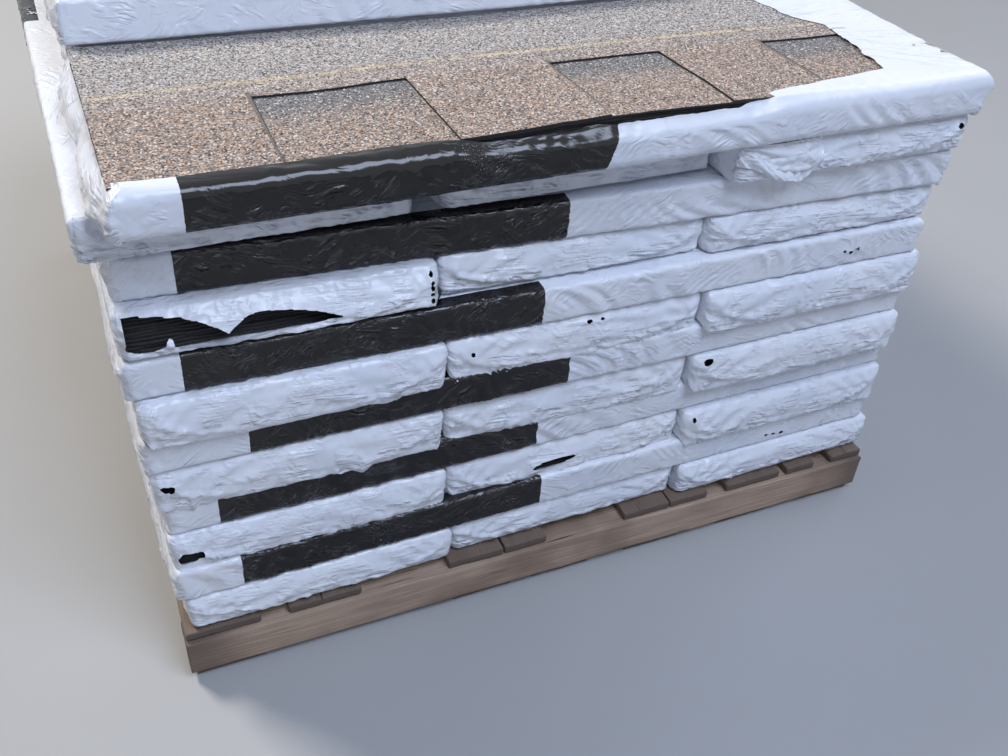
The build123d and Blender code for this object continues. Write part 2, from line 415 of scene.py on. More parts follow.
# %% [markdown]
# Handling leaves slits and holes in the film. A hole is a polygon on a face of the wrap. Cells whose
# middle is inside it are dropped, and the points around them move to its rim, so the hole has a clean
# edge at any mesh size. The rim curls outwards, as torn film does, and catches the light. A boolean
# would do the same with far more trouble on a creased surface.

# %% Cut a hole in a grid
def inside(polygon, x, y):
    """True where a point lies in the polygon, by counting edges to its right."""
    found = np.zeros(np.shape(x), bool)
    for (x1, y1), (x2, y2) in zip(polygon, np.roll(polygon, -1, axis=0)):
        crosses = (y1 > y) != (y2 > y)
        rise = y2 - y1 if y2 != y1 else 1e-9
        found ^= crosses & (x < (x2 - x1) * (y - y1) / rise + x1)
    return found


def to_rim(polygon, x, y):
    """The nearest points on the polygon's edges."""
    best = np.full(np.shape(x), 1e9)
    rim_x, rim_y = np.array(x, float), np.array(y, float)
    for (x1, y1), (x2, y2) in zip(polygon, np.roll(polygon, -1, axis=0)):
        dx, dy = x2 - x1, y2 - y1
        share = np.clip(((x - x1) * dx + (y - y1) * dy) / max(dx * dx + dy * dy, 1e-9), 0, 1)
        near_x, near_y = x1 + share * dx, y1 + share * dy
        gap = np.hypot(near_x - x, near_y - y)
        closer = gap < best
        best = np.where(closer, gap, best)
        rim_x, rim_y = np.where(closer, near_x, rim_x), np.where(closer, near_y, rim_y)
    return rim_x, rim_y


def lens(right, height, half_width, half_height, tilt=0.0, rag=0.12, seed=0):
    """A slit or hole with pointed ends, as a polygon on a face of a wrap."""
    turn = np.linspace(0, 2 * math.pi, 36, endpoint=False)
    size = 1 + rag * noise(np.cos(turn) * 2, np.sin(turn) * 2, seed=seed)
    x = half_width * np.cos(turn) * size
    y = half_height * np.sin(turn) * np.abs(np.sin(turn)) ** 0.4 * size
    return np.stack([right + x, height + y + tilt * x], axis=1)


# %% [markdown]
# The folded film at an end hangs a little below the bundle as a ragged hem. A tongue is a longer torn
# strip in it. Places on a face are counted to the right of its middle, as a viewer before it sees them.

# %% Hem and faces of a wrap
BAND_FROM, BAND_TO = -440.0, -30.0
BULGE = 6.5
HEM_CORNER = 9.0
HOLE_REACH = 0.3
RIM_CURL, RIM_CURL_REACH = 1.8, 3.5
PRINT_OVER_EDGE = 22.0
TOP_MARGIN, UNDER_MARGIN = 38.0, 24.0
SHOWN_TOP_ROWS, HIDDEN_TOP_ROWS = 14, 6
SEEDS_APART = 40
END_SEED = 11
FAR_SIDE_PATTERN = 1500
LOW_ROW = -8


def hem_drop(right, width, hang, seed, tongues=()):
    """How far the folded end hangs below the bundle, least at its corners."""
    inner = smooth_step((width / 2 - np.abs(right)) / HEM_CORNER)
    ragged = 2.6 * noise(right / 60, 0.1, seed=seed) + 0.7 * noise(right / 22, 0.6, seed=seed + 1)
    for place, spread, depth in tongues:
        ragged = ragged + depth * np.maximum(1 - np.abs(right - place) / spread, 0)
    return inner * np.maximum(hang + ragged * min(1.0, hang / 6), 0)


def face_right(side, x, y):
    """Place to the viewer's right on a side of the bundle, from the bundle's own x and y."""
    return x * -NORMALS[side][1] + y * NORMALS[side][0]


# %% [markdown]
# A wrap starts as a smooth band of points. Where its top shows, the rows run in to the middle line of
# the bundle and meet there. Where the top is torn, they end at the rim that the function tear gives.
# A namespace carries the points together with what each one knows of its place on the wrap.

# %% Lay out a wrap
def lay_out(bundle, steps, widen, radius, top_shown, tear):
    """The smooth film, before holes and creases."""
    length = bundle["length"] + 2 * FILM_INSET
    width = bundle["width"] + 2 * FILM_INSET + widen
    tall = bundle["height"] + 2 * FILM_INSET
    ring = outline(length, width, steps, LEFT_END if lies_along(bundle) else RIGHT_END)
    count = SHOWN_TOP_ROWS if top_shown or tear else HIDDEN_TOP_ROWS
    row_step = FINE_STEP if FINE_STEP in steps else PLAIN_ROW_STEP
    top_rows = np.linspace(1, 0, count, endpoint=False)
    rows = profile(tall, row_step, top_rows, np.linspace(0, 1, 4)[1:], radius)
    inset, height, out, up, share, kind, hangs, bulges = [rows[:, i][None, :] for i in range(8)]
    side, ax, ay, bx, by, part, nx, ny = [ring[:, i][:, None] for i in range(8)]
    margin = np.where(kind > 0, width / 2 if top_shown else TOP_MARGIN, UNDER_MARGIN)
    offset = inset + share * (margin - inset) * (kind != 0)
    corner = np.maximum(CORNER_RADIUS - offset, 0.0)
    x = (ax + (bx - ax) * part) * (length / 2 - offset - corner) + corner * nx
    y = (ay + (by - ay) * part) * (width / 2 - offset - corner) + corner * ny
    if tear is not None:
        rim_x, rim_y = tear(x[:, count], y[:, count], length, width)
        torn = (kind > 0) * share
        x = np.where(kind > 0, x[:, [count]] * (1 - torn) + rim_x[:, None] * torn, x)
        y = np.where(kind > 0, y[:, [count]] * (1 - torn) + rim_y[:, None] * torn, y)
    return SimpleNamespace(
        x=x, y=y, z=height + 0 * x, side=side, part=part, nx=nx, ny=ny, height=height, out=out, up=up,
        share=share, kind=kind, hangs=hangs, bulges=bulges, offset=offset, width=width, tall=tall,
        end_share=smooth_step((np.abs(nx) - 0.15) / 0.7), calm=radius / EDGE_RADIUS,
        torn=tear is not None, shown=top_shown or tear is not None,
    )


# %% [markdown]
# Each hole drops the cells of the band that lie in it, and its rim curls outwards. This comes before
# the relief, so that the creases run through the rim as they do in real film.

# %% Cut the holes of a wrap
def cut_holes(film, holes):
    """Moves points to the rims. Returns the cells that stay and how far each point curls out."""
    x, y, z = film.x, film.y, film.z
    keep = np.ones((x.shape[0] - 1, x.shape[1] - 1), bool)
    on_face = (film.part > 0) & (film.part < 1) & (film.out > HOLE_REACH)
    curl = np.zeros(x.shape)
    for face, polygon in holes:
        right = face_right(face, x, y)
        facing = on_face & (film.side == face)
        middle = [(field[:-1, :-1] + field[1:, 1:]) / 2 for field in (right, z)]
        gone = inside(polygon, *middle) & facing[:-1, :-1] & facing[1:, 1:]
        keep &= ~gone
        beside = np.zeros(x.shape, bool)
        for i, j in ((0, 0), (0, 1), (1, 0), (1, 1)):
            beside[i:i + gone.shape[0], j:j + gone.shape[1]] |= gone
        rim_right, rim_z = to_rim(polygon, right, z)
        gap = np.hypot(rim_right - right, rim_z - z)
        curl = np.maximum(curl, np.where(facing, RIM_CURL * np.exp(-gap / RIM_CURL_REACH), 0))
        moved = beside & facing & (gap < FINE_STEP)
        x = np.where(moved, x + (rim_right - right) * -NORMALS[face][1], x)
        y = np.where(moved, y + (rim_right - right) * NORMALS[face][0], y)
        z = np.where(moved, rim_z, z)
    film.x, film.y, film.z = x, y, z
    return keep, curl


# %% [markdown]
# Sides, ends, top and underside each have their own relief, and the rounded edges and corners blend
# them. Near the upper edge the film is pulled tight, so the creases fade there. Its slack is apart from
# that: ends bulge, a loose front drapes, and the hem hangs.

# %% Creases and slack of a wrap
def wrap_relief(film, seed, strength, curl):
    """Millimetres that the creased film stands out from the smooth one."""
    x, y, z, nx, ny = film.x, film.y, film.z, film.nx, film.ny
    first = seed * SEEDS_APART
    on_side = side_relief(-np.sign(ny) * x + FAR_SIDE_PATTERN * (ny > 0), z, first, strength)
    ends = [end_relief(np.sign(nx) * y, z, film.width, film.tall, first + END_SEED + i) for i in (0, 12)]
    on_end = np.where(nx < 0, *ends)
    above = top_relief(x, y, first + 31, film.shown) * (1 - 0.85 * film.torn * film.share)
    above = above * smooth_step((film.width / 2 - film.offset) / 12)
    below = -0.2 - 0.3 * noise(x / 30, y / 30, seed=seed)
    least = 0.35 / film.calm ** 2
    tautness = least + (1 - least) * smooth_step((film.tall / 2 - z) / (13 * film.calm))
    around = (1 - film.end_share) * on_side + film.end_share * on_end
    relief = around * film.out ** 2 * tautness + curl
    return relief + np.where(film.up > 0, above, below) * film.up ** 2


def wrap_slack(film, seed, hang, tongues, bulge, front_drape):
    """How far loose film is pushed outwards, and how far its hem drops."""
    right = np.sign(film.nx) * film.y
    first = seed * SEEDS_APART + END_SEED
    drop = np.where(film.nx < 0, hem_drop(right, film.width, hang, first + 5, tongues),
                    hem_drop(right, film.width, hang, first + 17)) * film.end_share
    swell = smooth_step((film.width / 2 - np.abs(right)) / HEM_CORNER)
    draped = front_drape * smooth_step((-film.ny - 0.3) / 0.6) * film.bulges
    return draped + bulge * film.end_share * swell * film.bulges, drop


# %% [markdown]
# The film's material reads two vectors. One tells how far along the printed band a point lies, how
# much the film is gathered there, and whether it is on the printed side. The other runs round the
# bundle in metres, so that the finest wrinkles follow the film and not the room.

# %% Values for the film's material
def film_values(film, seed, band, slant):
    """The vectors print_at and film_at of a creased wrap."""
    x, y, z, offset, height = film.x, film.y, film.z, film.offset[0], film.height[0]
    walked = np.concatenate([[0], np.cumsum(np.hypot(np.diff(x[:, LOW_ROW]), np.diff(y[:, LOW_ROW])))])
    down = np.cumsum(np.hypot(np.diff(offset, prepend=offset[0]), np.diff(height, prepend=height[0])))
    print_at = np.zeros(x.shape + (3,))
    rolled = smooth_step((z - 4) / 10) * (1 - film.end_share) * (film.calm > 1)
    print_at[..., 1] = film.end_share * (0.45 + 0.55 * smooth_step(0.5 - (z + 4) / 12)) - rolled
    if band is not None:
        band_side, start, stop = band
        facing = film.nx * NORMALS[band_side][0] + film.ny * NORMALS[band_side][1]
        print_at[..., 0] = (face_right(band_side, x, y) - start) / (stop - start + slant * z)
        printed = (facing > 0.6) & ((film.kind <= 0) | (film.offset < PRINT_OVER_EDGE) | film.torn)
        print_at[..., 2] = np.where(printed, 1.0, 0.0)
    film_at = [walked[:, None] / METRE + 0 * x, down[None, :] / METRE + 0 * x, seed + 0 * x]
    return {"print_at": print_at.reshape(-1, 3), "film_at": np.stack(film_at, axis=-1).reshape(-1, 3)}


# %% [markdown]
# The wrap itself puts these steps together. One sheet closes it below, and another above where no one
# sees the top. The option shape bends a finished wrap to what lies in it.

# %% Build one wrap
def wrap_mesh(bundle, steps, seed, strength=1.0, band=None, holes=(), hang=8.0, top_shown=False,
              tear=None, shape=None, widen=0.0, radius=EDGE_RADIUS, bulge=BULGE,
              front_drape=0.0, tongues=(), slant=0.0):
    """One film wrap as (points, faces, values). band is (side, from, to) of the print."""
    film = lay_out(bundle, steps, widen, radius, top_shown, tear)
    keep, curl = cut_holes(film, holes)
    relief = wrap_relief(film, seed, strength, curl)
    pushed, drop = wrap_slack(film, seed, hang, tongues, bulge, front_drape)
    film.x = film.x + film.nx * (film.out * relief + pushed)
    film.y = film.y + film.ny * (film.out * relief + pushed)
    film.z = film.z + film.up * relief - drop * film.hangs
    if shape is not None:
        film.x, film.z = shape(film.x, film.y, film.z)
    points = to_load(bundle, film.x, film.y, film.z) - bundle["across"] * widen / 2
    faces = grid_faces(*film.x.shape, keep=keep)
    samples, columns = film.x.shape
    if tear is None and not top_shown:
        faces.append([i * columns for i in range(samples - 1)])
    faces.append([i * columns + columns - 1 for i in range(samples - 2, -1, -1)])
    return settled(points.reshape(-1, 3)), faces, film_values(film, seed, band, slant)


# %% [markdown]
# A node takes one line when a helper adds it, sets its options, and sets or links its inputs. Colours
# are written as sRGB hex, the way a paint chart or a photograph gives them, and turned to the linear
# values that the shader works with. The named options save repeating the same settings.

# %% Node helper
TIMES, PLUS, MINUS = {"operation": "MULTIPLY"}, {"operation": "ADD"}, {"operation": "SUBTRACT"}
RISE = {"interpolation_type": "SMOOTHSTEP"}
BLEND = {"data_type": "RGBA"}
PUSH = {"data_type": "RGBA", "blend_type": "LINEAR_LIGHT"}
TURNED = {"vector_type": "TEXTURE"}


def linear(code, alpha=1.0):
    """Linear colour from an sRGB hex code."""
    parts = [int(code[i:i + 2], 16) / 255 for i in (1, 3, 5)]
    return [part / 12.92 if part <= 0.04045 else ((part + 0.055) / 1.055) ** 2.4 for part in parts] + [alpha]


def add(tree, kind, inputs, options=None, output=0):
    """Add a node. An input takes a number, a hex colour or another node's output."""
    node = tree.nodes.new("ShaderNode" + kind)
    for key, value in (options or {}).items():
        setattr(node, key, value)
    for key, value in inputs.items():
        if isinstance(value, bpy.types.NodeSocket):
            tree.links.new(value, node.inputs[key])
        else:
            node.inputs[key].default_value = linear(value) if isinstance(value, str) else value
    return node.outputs[output]


def new_material(name):
    """A named material with its Principled shader."""
    material = bpy.data.materials.new(name)
    material.use_nodes = True
    return material, material.node_tree, material.node_tree.nodes["Principled BSDF"]


# %% [markdown]
# The finest folds of the film are about 10 mm apart and only part of a millimetre deep, so they are
# bump. Stretched noise, folded at its middle value, gives thin ridges that flash or go dark as they
# turn. Two such directions take turns on the taut sides. The gathered ends have long pleats and small
# crumpled cells instead, and where the film is rolled tight the folds almost go.

# %% Fine folds of the film
FOLD_PITCH, FOLD_LENGTH = 0.010, 0.042
GATHER_PITCH, GATHER_LENGTH = 0.007, 0.10
CRUMPLE_SIZE = (0.014, 0.007, 1)


def fold_height(tree, at, gathered):
    """Height of the fine folds, for a Bump node."""
    swirl = add(tree, "TexNoise", {"Vector": at, "Scale": 9.0, "Detail": 2.0}, None, 1)
    bent = add(tree, "Mix", {0: 0.03, 6: at, 7: swirl}, PUSH, 2)
    fold_size = (FOLD_LENGTH, FOLD_PITCH, 1)
    lean = add(tree, "Mapping", {"Vector": bent, "Rotation": (0, 0, -0.6), "Scale": fold_size}, TURNED)
    rising = add(tree, "TexNoise", {"Vector": lean, "Scale": 1.0, "Detail": 3.5, "Distortion": 0.3})
    lean = add(tree, "Mapping", {"Vector": bent, "Rotation": (0, 0, 0.35), "Scale": fold_size}, TURNED)
    falling = add(tree, "TexNoise", {"Vector": lean, "Scale": 1.0, "Detail": 3.5, "Distortion": 0.3})
    patch = add(tree, "TexNoise", {"Vector": at, "Scale": 13.0, "Detail": 1.0})
    patch = add(tree, "MapRange", {"Value": patch, "From Min": 0.42, "From Max": 0.58}, RISE)
    taut = add(tree, "Mix", {0: patch, 2: rising, 3: falling}, {"data_type": "FLOAT"})
    taut = add(tree, "Math", {0: taut, 1: 0.5}, MINUS)
    taut = add(tree, "Math", {0: taut}, {"operation": "ABSOLUTE"})
    gather_size = (GATHER_LENGTH, GATHER_PITCH, 1)
    lengthwise = add(tree, "Mapping", {"Vector": at, "Rotation": (0, 0, 0.06), "Scale": gather_size}, TURNED)
    pleat = add(tree, "TexNoise", {"Vector": lengthwise, "Scale": 1.0, "Detail": 3.0, "Distortion": 0.3})
    pleat = add(tree, "Math", {0: pleat, 1: 0.5}, MINUS)
    pleat = add(tree, "Math", {0: pleat}, {"operation": "ABSOLUTE"})
    drift = add(tree, "TexNoise", {"Vector": at, "Scale": 26.0, "Detail": 3.0, "Roughness": 0.6}, None, 1)
    pushed = add(tree, "Mix", {0: 0.02, 6: at, 7: drift}, PUSH, 2)
    lying = {"Vector": pushed, "Rotation": (0, 0, 0.3), "Scale": CRUMPLE_SIZE}
    squashed = add(tree, "Mapping", lying, TURNED)
    crumple = add(tree, "TexVoronoi", {"Vector": squashed, "Scale": 1.0})
    pleat = add(tree, "Math", {0: crumple, 1: 0.35, 2: pleat}, {"operation": "MULTIPLY_ADD"})
    pleat = add(tree, "Math", {0: pleat, 1: 1.5}, TIMES)
    relief = add(tree, "Mix", {0: gathered, 2: taut, 3: pleat}, {"data_type": "FLOAT"})
    fade = add(tree, "TexNoise", {"Vector": at, "Scale": 31.0, "Detail": 2.0})
    fade = add(tree, "MapRange", {"Value": fade, "From Min": 0.38, "From Max": 0.60}, RISE)
    relief = add(tree, "Math", {0: relief, 1: fade}, TIMES)
    calm = add(tree, "MapRange", {"Value": gathered, "From Min": -1.0, "From Max": 0.0, "To Min": 0.12})
    return add(tree, "Math", {0: relief, 1: calm}, TIMES)


# %% [markdown]
# A dark label band is printed on one long side. Its ends waver a little, as ink on soft film does, and
# it is rubbed off in specks where bundles were dragged over each other.

# %% Printed band
BAND_SOFTNESS = 0.0012


def band_share(tree, at, along, on_side):
    """How much a point is printed, from 0 to 1."""
    edge = add(tree, "TexNoise", {"Vector": at, "Scale": 160.0, "Detail": 2.0})
    wobble = add(tree, "MapRange", {"Value": edge, "To Min": -0.002, "To Max": 0.002})
    place = add(tree, "Math", {0: along, 1: wobble}, PLUS)
    starts = add(tree, "MapRange", {"Value": place, "From Max": BAND_SOFTNESS}, RISE)
    stops = add(tree, "MapRange", {"Value": place, "From Min": 1.0, "From Max": 1 - BAND_SOFTNESS}, RISE)
    band = add(tree, "Math", {0: starts, 1: stops}, TIMES)
    on_side = add(tree, "MapRange", {"Value": on_side, "From Min": 0.46, "From Max": 0.54}, RISE)
    band = add(tree, "Math", {0: band, 1: on_side}, TIMES)
    rub = add(tree, "TexNoise", {"Vector": at, "Scale": 420.0, "Detail": 3.0, "Roughness": 0.7})
    rub = add(tree, "MapRange", {"Value": rub, "From Min": 0.60, "From Max": 0.66}, RISE)
    spot = add(tree, "TexNoise", {"Vector": at, "Scale": 11.0, "Detail": 1.0})
    spot = add(tree, "MapRange", {"Value": spot, "From Min": 0.62, "From Max": 0.72, "To Max": 0.5}, RISE)
    worn = add(tree, "Math", {0: rub, 1: spot}, TIMES)
    return add(tree, "Math", {0: band, 1: worn}, MINUS)


# %% [markdown]
# The wrap is low-density polyethylene, blown as a thin white tube. Blown film has a waxy gloss, so its
# roughness is 0.27 and its IOR is 1.50, and the ink on it is smoother still. That gives the eye soft
# highlights on the white and sharp streaks on the black. Site dust greys the white in patches.

# %% White polyethylene film with a printed band
FOLD_DEPTH = 0.0065


def film_material():
    material, tree, shader = new_material("white_polyethylene_film_printed_band")
    at = add(tree, "Attribute", {}, {"attribute_name": "film_at"}, "Vector")
    print_at = add(tree, "Attribute", {}, {"attribute_name": "print_at"}, "Vector")
    along = add(tree, "SeparateXYZ", {0: print_at}, None, "X")
    gathered = add(tree, "SeparateXYZ", {0: print_at}, None, "Y")
    on_side = add(tree, "SeparateXYZ", {0: print_at}, None, "Z")
    relief = fold_height(tree, at, gathered)
    band = band_share(tree, at, along, on_side)
    taller = add(tree, "Math", {0: band, 1: 0.7, 2: 1.0}, {"operation": "MULTIPLY_ADD"})
    relief = add(tree, "Math", {0: relief, 1: taller}, TIMES)
    bump = add(tree, "Bump", {"Height": relief, "Strength": 1.0, "Distance": FOLD_DEPTH})
    tree.links.new(bump, shader.inputs["Normal"])
    cloud = add(tree, "TexNoise", {"Vector": at, "Scale": 7.0, "Detail": 3.0})
    white = add(tree, "Mix", {0: cloud, 6: "#D6DCE8", 7: "#ECECEE"}, BLEND, 2)
    dust = add(tree, "TexNoise", {"Vector": at, "Scale": 55.0, "Detail": 5.0, "Roughness": 0.75})
    dust = add(tree, "MapRange", {"Value": dust, "From Min": 0.55, "From Max": 0.75, "To Max": 0.35}, RISE)
    white = add(tree, "Mix", {0: dust, 6: white, 7: "#AFAFB4"}, BLEND, 2)
    black = add(tree, "Mix", {0: cloud, 6: "#0A0A0E", 7: "#171312"}, BLEND, 2)
    colour = add(tree, "Mix", {0: band, 6: white, 7: black}, BLEND, 2)
    tree.links.new(colour, shader.inputs["Base Color"])
    gloss = add(tree, "MapRange", {"Value": band, "To Min": 0.27, "To Max": 0.16})
    tree.links.new(gloss, shader.inputs["Roughness"])
    shader.inputs["IOR"].default_value = 1.50
    return material


FILM = film_material()


# %% [markdown]
# A shingle is a glass mat soaked in asphalt and pressed with crushed, ceramic-coated stone. The maker
# drops the stone in blends: warm brown on the teeth, and blue-grey where the next course will cover it.
# The blends run into each other in a wandering line, because grains fall past it on both sides.

# %% Granule blends
GRAIN = 0.0017
ZONE_LINE, HEADLAP_LINE = 0.158, 0.205
ZONE_BLUR, LAP_BLUR = 0.008, 0.009


def blend_colour(tree, tint, kind, wandering):
    """Colour of a grain by its blend. tint and kind are the grain's own chances."""
    warm = add(tree, "Mix", {0: tint, 6: "#4C3A31", 7: "#D8BCA6"}, BLEND, 2)
    grey = add(tree, "MapRange", {"Value": kind, "From Min": 0.62, "From Max": 0.75}, RISE)
    warm = add(tree, "Mix", {0: grey, 6: warm, 7: "#847F7B"}, BLEND, 2)
    cool = add(tree, "Mix", {0: tint, 6: "#4A4C52", 7: "#D0CCC6"}, BLEND, 2)
    brown = add(tree, "MapRange", {"Value": kind, "From Min": 0.70, "From Max": 0.85}, RISE)
    cool = add(tree, "Mix", {0: brown, 6: cool, 7: "#AB9788"}, BLEND, 2)
    middle = add(tree, "Mix", {0: 0.5, 6: warm, 7: cool}, BLEND, 2)
    past = {"Value": wandering, "From Min": ZONE_LINE - ZONE_BLUR, "From Max": ZONE_LINE + ZONE_BLUR}
    colour = add(tree, "Mix", {0: add(tree, "MapRange", past, RISE), 6: warm, 7: middle}, BLEND, 2)
    past = {"Value": wandering, "From Min": HEADLAP_LINE - LAP_BLUR, "From Max": HEADLAP_LINE + LAP_BLUR}
    return add(tree, "Mix", {0: add(tree, "MapRange", past, RISE), 6: colour, 7: cool}, BLEND, 2)


# %% [markdown]
# A line of pale sealant crosses the shingle, thin and broken. Under each cutout the maker drops a dark
# band, which gives a flat roof the look of depth. A thin dark line along each cutout's left edge is
# painted shadow, where the tooth's raised edge would throw it. A few grains are nearly white or nearly
# black, which makes the face salt-and-pepper rather than brown.

# %% Marks on the granules
SEAL_FROM, SEAL_TO = 0.190, 0.197
SEAL_BLUR = 0.001
SHADOW_LINE = 0.120


def marked_colour(tree, at, depth, on_backing, tint, rare, wandering, colour):
    """The blend with its sealant, shadow band, painted shadow line beside each cutout and odd grains."""
    past = {"Value": depth, "From Min": SEAL_FROM - SEAL_BLUR, "From Max": SEAL_FROM + SEAL_BLUR}
    opens = add(tree, "MapRange", past, RISE)
    past = {"Value": depth, "From Min": SEAL_TO + SEAL_BLUR, "From Max": SEAL_TO - SEAL_BLUR}
    shuts = add(tree, "MapRange", past, RISE)
    seal = add(tree, "Math", {0: opens, 1: shuts}, TIMES)
    gaps = add(tree, "TexNoise", {"Vector": at, "Scale": 60.0, "Detail": 4.0, "Roughness": 0.7})
    gaps = add(tree, "MapRange", {"Value": gaps, "From Min": 0.36, "From Max": 0.56, "To Max": 0.62}, RISE)
    seal = add(tree, "Math", {0: seal, 1: gaps}, TIMES)
    colour = add(tree, "Mix", {0: seal, 6: colour, 7: "#D9C89A"}, BLEND, 2)
    dark = add(tree, "Mix", {0: tint, 6: "#45464A", 7: "#96928F"}, BLEND, 2)
    past = {"Value": wandering, "From Min": SHADOW_LINE - 0.05, "From Max": SHADOW_LINE + 0.02}
    shadow = add(tree, "Math", {0: on_backing, 1: add(tree, "MapRange", past, RISE)}, TIMES)
    colour = add(tree, "Mix", {0: shadow, 6: colour, 7: dark}, BLEND, 2)
    # Painted shadow: a thin dark line on the overlay along each cutout's left edge, where the tooth's edge
    # would cast one.
    left_edge_shadow = add(tree, "MapRange", {"Value": on_backing, "From Min": -0.66, "From Max": -0.9}, RISE)
    colour = add(tree, "Mix", {0: left_edge_shadow, 6: colour, 7: "#2A2624"}, BLEND, 2)
    pale = add(tree, "MapRange", {"Value": rare, "From Min": 0.93, "From Max": 0.95}, RISE)
    colour = add(tree, "Mix", {0: pale, 6: colour, 7: "#E4DED6"}, BLEND, 2)
    black = add(tree, "MapRange", {"Value": rare, "From Min": 0.11, "From Max": 0.08}, RISE)
    return add(tree, "Mix", {0: black, 6: colour, 7: "#312C2B"}, BLEND, 2)


# %% [markdown]
# A Voronoi cell is one grain, with its own colour and its own small dome. The grains are drawn 1.7 mm
# across, near their real size. Stone has no polish, so a roughness of 0.82 keeps the face matt.

# %% Granules
GRAIN_HEIGHT = 0.0011


def granule_material():
    material, tree, shader = new_material("ceramic_coated_stone_granules")
    at = add(tree, "Attribute", {}, {"attribute_name": "shingle_at"}, "Vector")
    depth = add(tree, "SeparateXYZ", {0: at}, None, "Y")
    # The third value is 1 on the backing and 0 on the overlay, and -1 on the painted shadow line at a
    # cutout's left edge.
    on_backing = add(tree, "SeparateXYZ", {0: at}, None, "Z")
    scale = {"Vector": at, "Scale": 1 / GRAIN}
    from_middle = add(tree, "TexVoronoi", scale, None, "Distance")
    chance = add(tree, "TexVoronoi", scale, None, "Color")
    tint = add(tree, "SeparateColor", {0: chance}, None, 0)
    kind = add(tree, "SeparateColor", {0: chance}, None, 1)
    rare = add(tree, "SeparateColor", {0: chance}, None, 2)
    drift = add(tree, "TexNoise", {"Vector": at, "Scale": 13.0, "Detail": 4.0, "Roughness": 0.65})
    drift = add(tree, "MapRange", {"Value": drift, "To Min": -0.015, "To Max": 0.015})
    wandering = add(tree, "Math", {0: depth, 1: drift}, PLUS)
    colour = blend_colour(tree, tint, kind, wandering)
    colour = marked_colour(tree, at, depth, on_backing, tint, rare, wandering, colour)
    tree.links.new(colour, shader.inputs["Base Color"])
    shader.inputs["Roughness"].default_value = 0.82
    dome = add(tree, "MapRange", {"Value": from_middle, "From Max": 0.6, "To Min": 1.0, "To Max": 0.0})
    bump = add(tree, "Bump", {"Height": dome, "Strength": 0.9, "Distance": GRAIN_HEIGHT})
    tree.links.new(bump, shader.inputs["Normal"])
    return material


GRANULES = granule_material()


# %% [markdown]
# The cut edge and the underside of a shingle show plain asphalt on glass felt. It is nearly black and
# rough from torn fibre and dusting sand, which gives the eye small grey sparks on a surface that is
# otherwise too dark to read.

# %% Asphalt felt
GRIT_HEIGHT = 0.0009


def felt_material():
    material, tree, shader = new_material("asphalt_on_glass_felt_cut_edge")
    at = add(tree, "TexCoord", {}, None, "Object")
    cloud = add(tree, "TexNoise", {"Vector": at, "Scale": 60.0, "Detail": 3.0})
    base = add(tree, "Mix", {0: cloud, 6: "#08080A", 7: "#1A181B"}, BLEND, 2)
    grit = add(tree, "TexNoise", {"Vector": at, "Scale": 900.0, "Detail": 3.0, "Roughness": 0.7})
    speck = add(tree, "MapRange", {"Value": grit, "From Min": 0.64, "From Max": 0.74, "To Max": 0.5}, RISE)
    colour = add(tree, "Mix", {0: speck, 6: base, 7: "#6A6460"}, BLEND, 2)
    tree.links.new(colour, shader.inputs["Base Color"])
    shader.inputs["Roughness"].default_value = 0.6
    bump = add(tree, "Bump", {"Height": grit, "Strength": 0.8, "Distance": GRIT_HEIGHT})
    tree.links.new(bump, shader.inputs["Normal"])
    return material


FELT = felt_material()


# %% [markdown]
# The pallet is sawn softwood. Its growth rings are about 3.5 mm apart, and each board stores how far
# along, across and through it a point lies, so the rings run with the board and show on its ends. Noise
# stretched along the board adds fibre, stains and short drying cracks.

# %% Grain of the wood
RING = 0.0035


def wood_grain(tree, at, across, through):
    """Rings, fibre, stains and drying cracks."""
    stretched = add(tree, "Mapping", {"Vector": at, "Scale": (1.6, 1 / RING / 6, 1 / RING / 6)})
    bend = add(tree, "TexNoise", {"Vector": stretched, "Scale": 1.0, "Detail": 2.0})
    bend = add(tree, "Math", {0: bend, 1: 9.0}, TIMES)
    ring = add(tree, "Math", {0: across, 1: 1 / RING, 2: bend}, {"operation": "MULTIPLY_ADD"})
    ring = add(tree, "Math", {0: through, 1: 0.6 / RING, 2: ring}, {"operation": "MULTIPLY_ADD"})
    turns = add(tree, "Math", {0: ring, 1: 2 * math.pi}, TIMES)
    grain = add(tree, "Math", {0: turns}, {"operation": "SINE"})
    stretched = add(tree, "Mapping", {"Vector": at, "Scale": (14, 900, 900)})
    fibre = add(tree, "TexNoise", {"Vector": stretched, "Scale": 1.0, "Detail": 4.0, "Roughness": 0.7})
    stretched = add(tree, "Mapping", {"Vector": at, "Scale": (5, 22, 22)})
    stain = add(tree, "TexNoise", {"Vector": stretched, "Scale": 1.0, "Detail": 5.0, "Roughness": 0.6})
    stretched = add(tree, "Mapping", {"Vector": at, "Scale": (9, 260, 260)})
    split = add(tree, "TexNoise", {"Vector": stretched, "Scale": 1.0, "Detail": 2.0})
    split = add(tree, "MapRange", {"Value": split, "From Min": 0.70, "From Max": 0.76}, RISE)
    return grain, fibre, stain, split


# %% [markdown]
# Rain and sun turn softwood grey-brown. It stays wet in patches, it is dark at the ends where it
# drinks, and it has a few small knots. Each board leans a little to a warmer tone of its own. The dark
# ends, knots and cracks make it read as old wood rather than as brown paint.

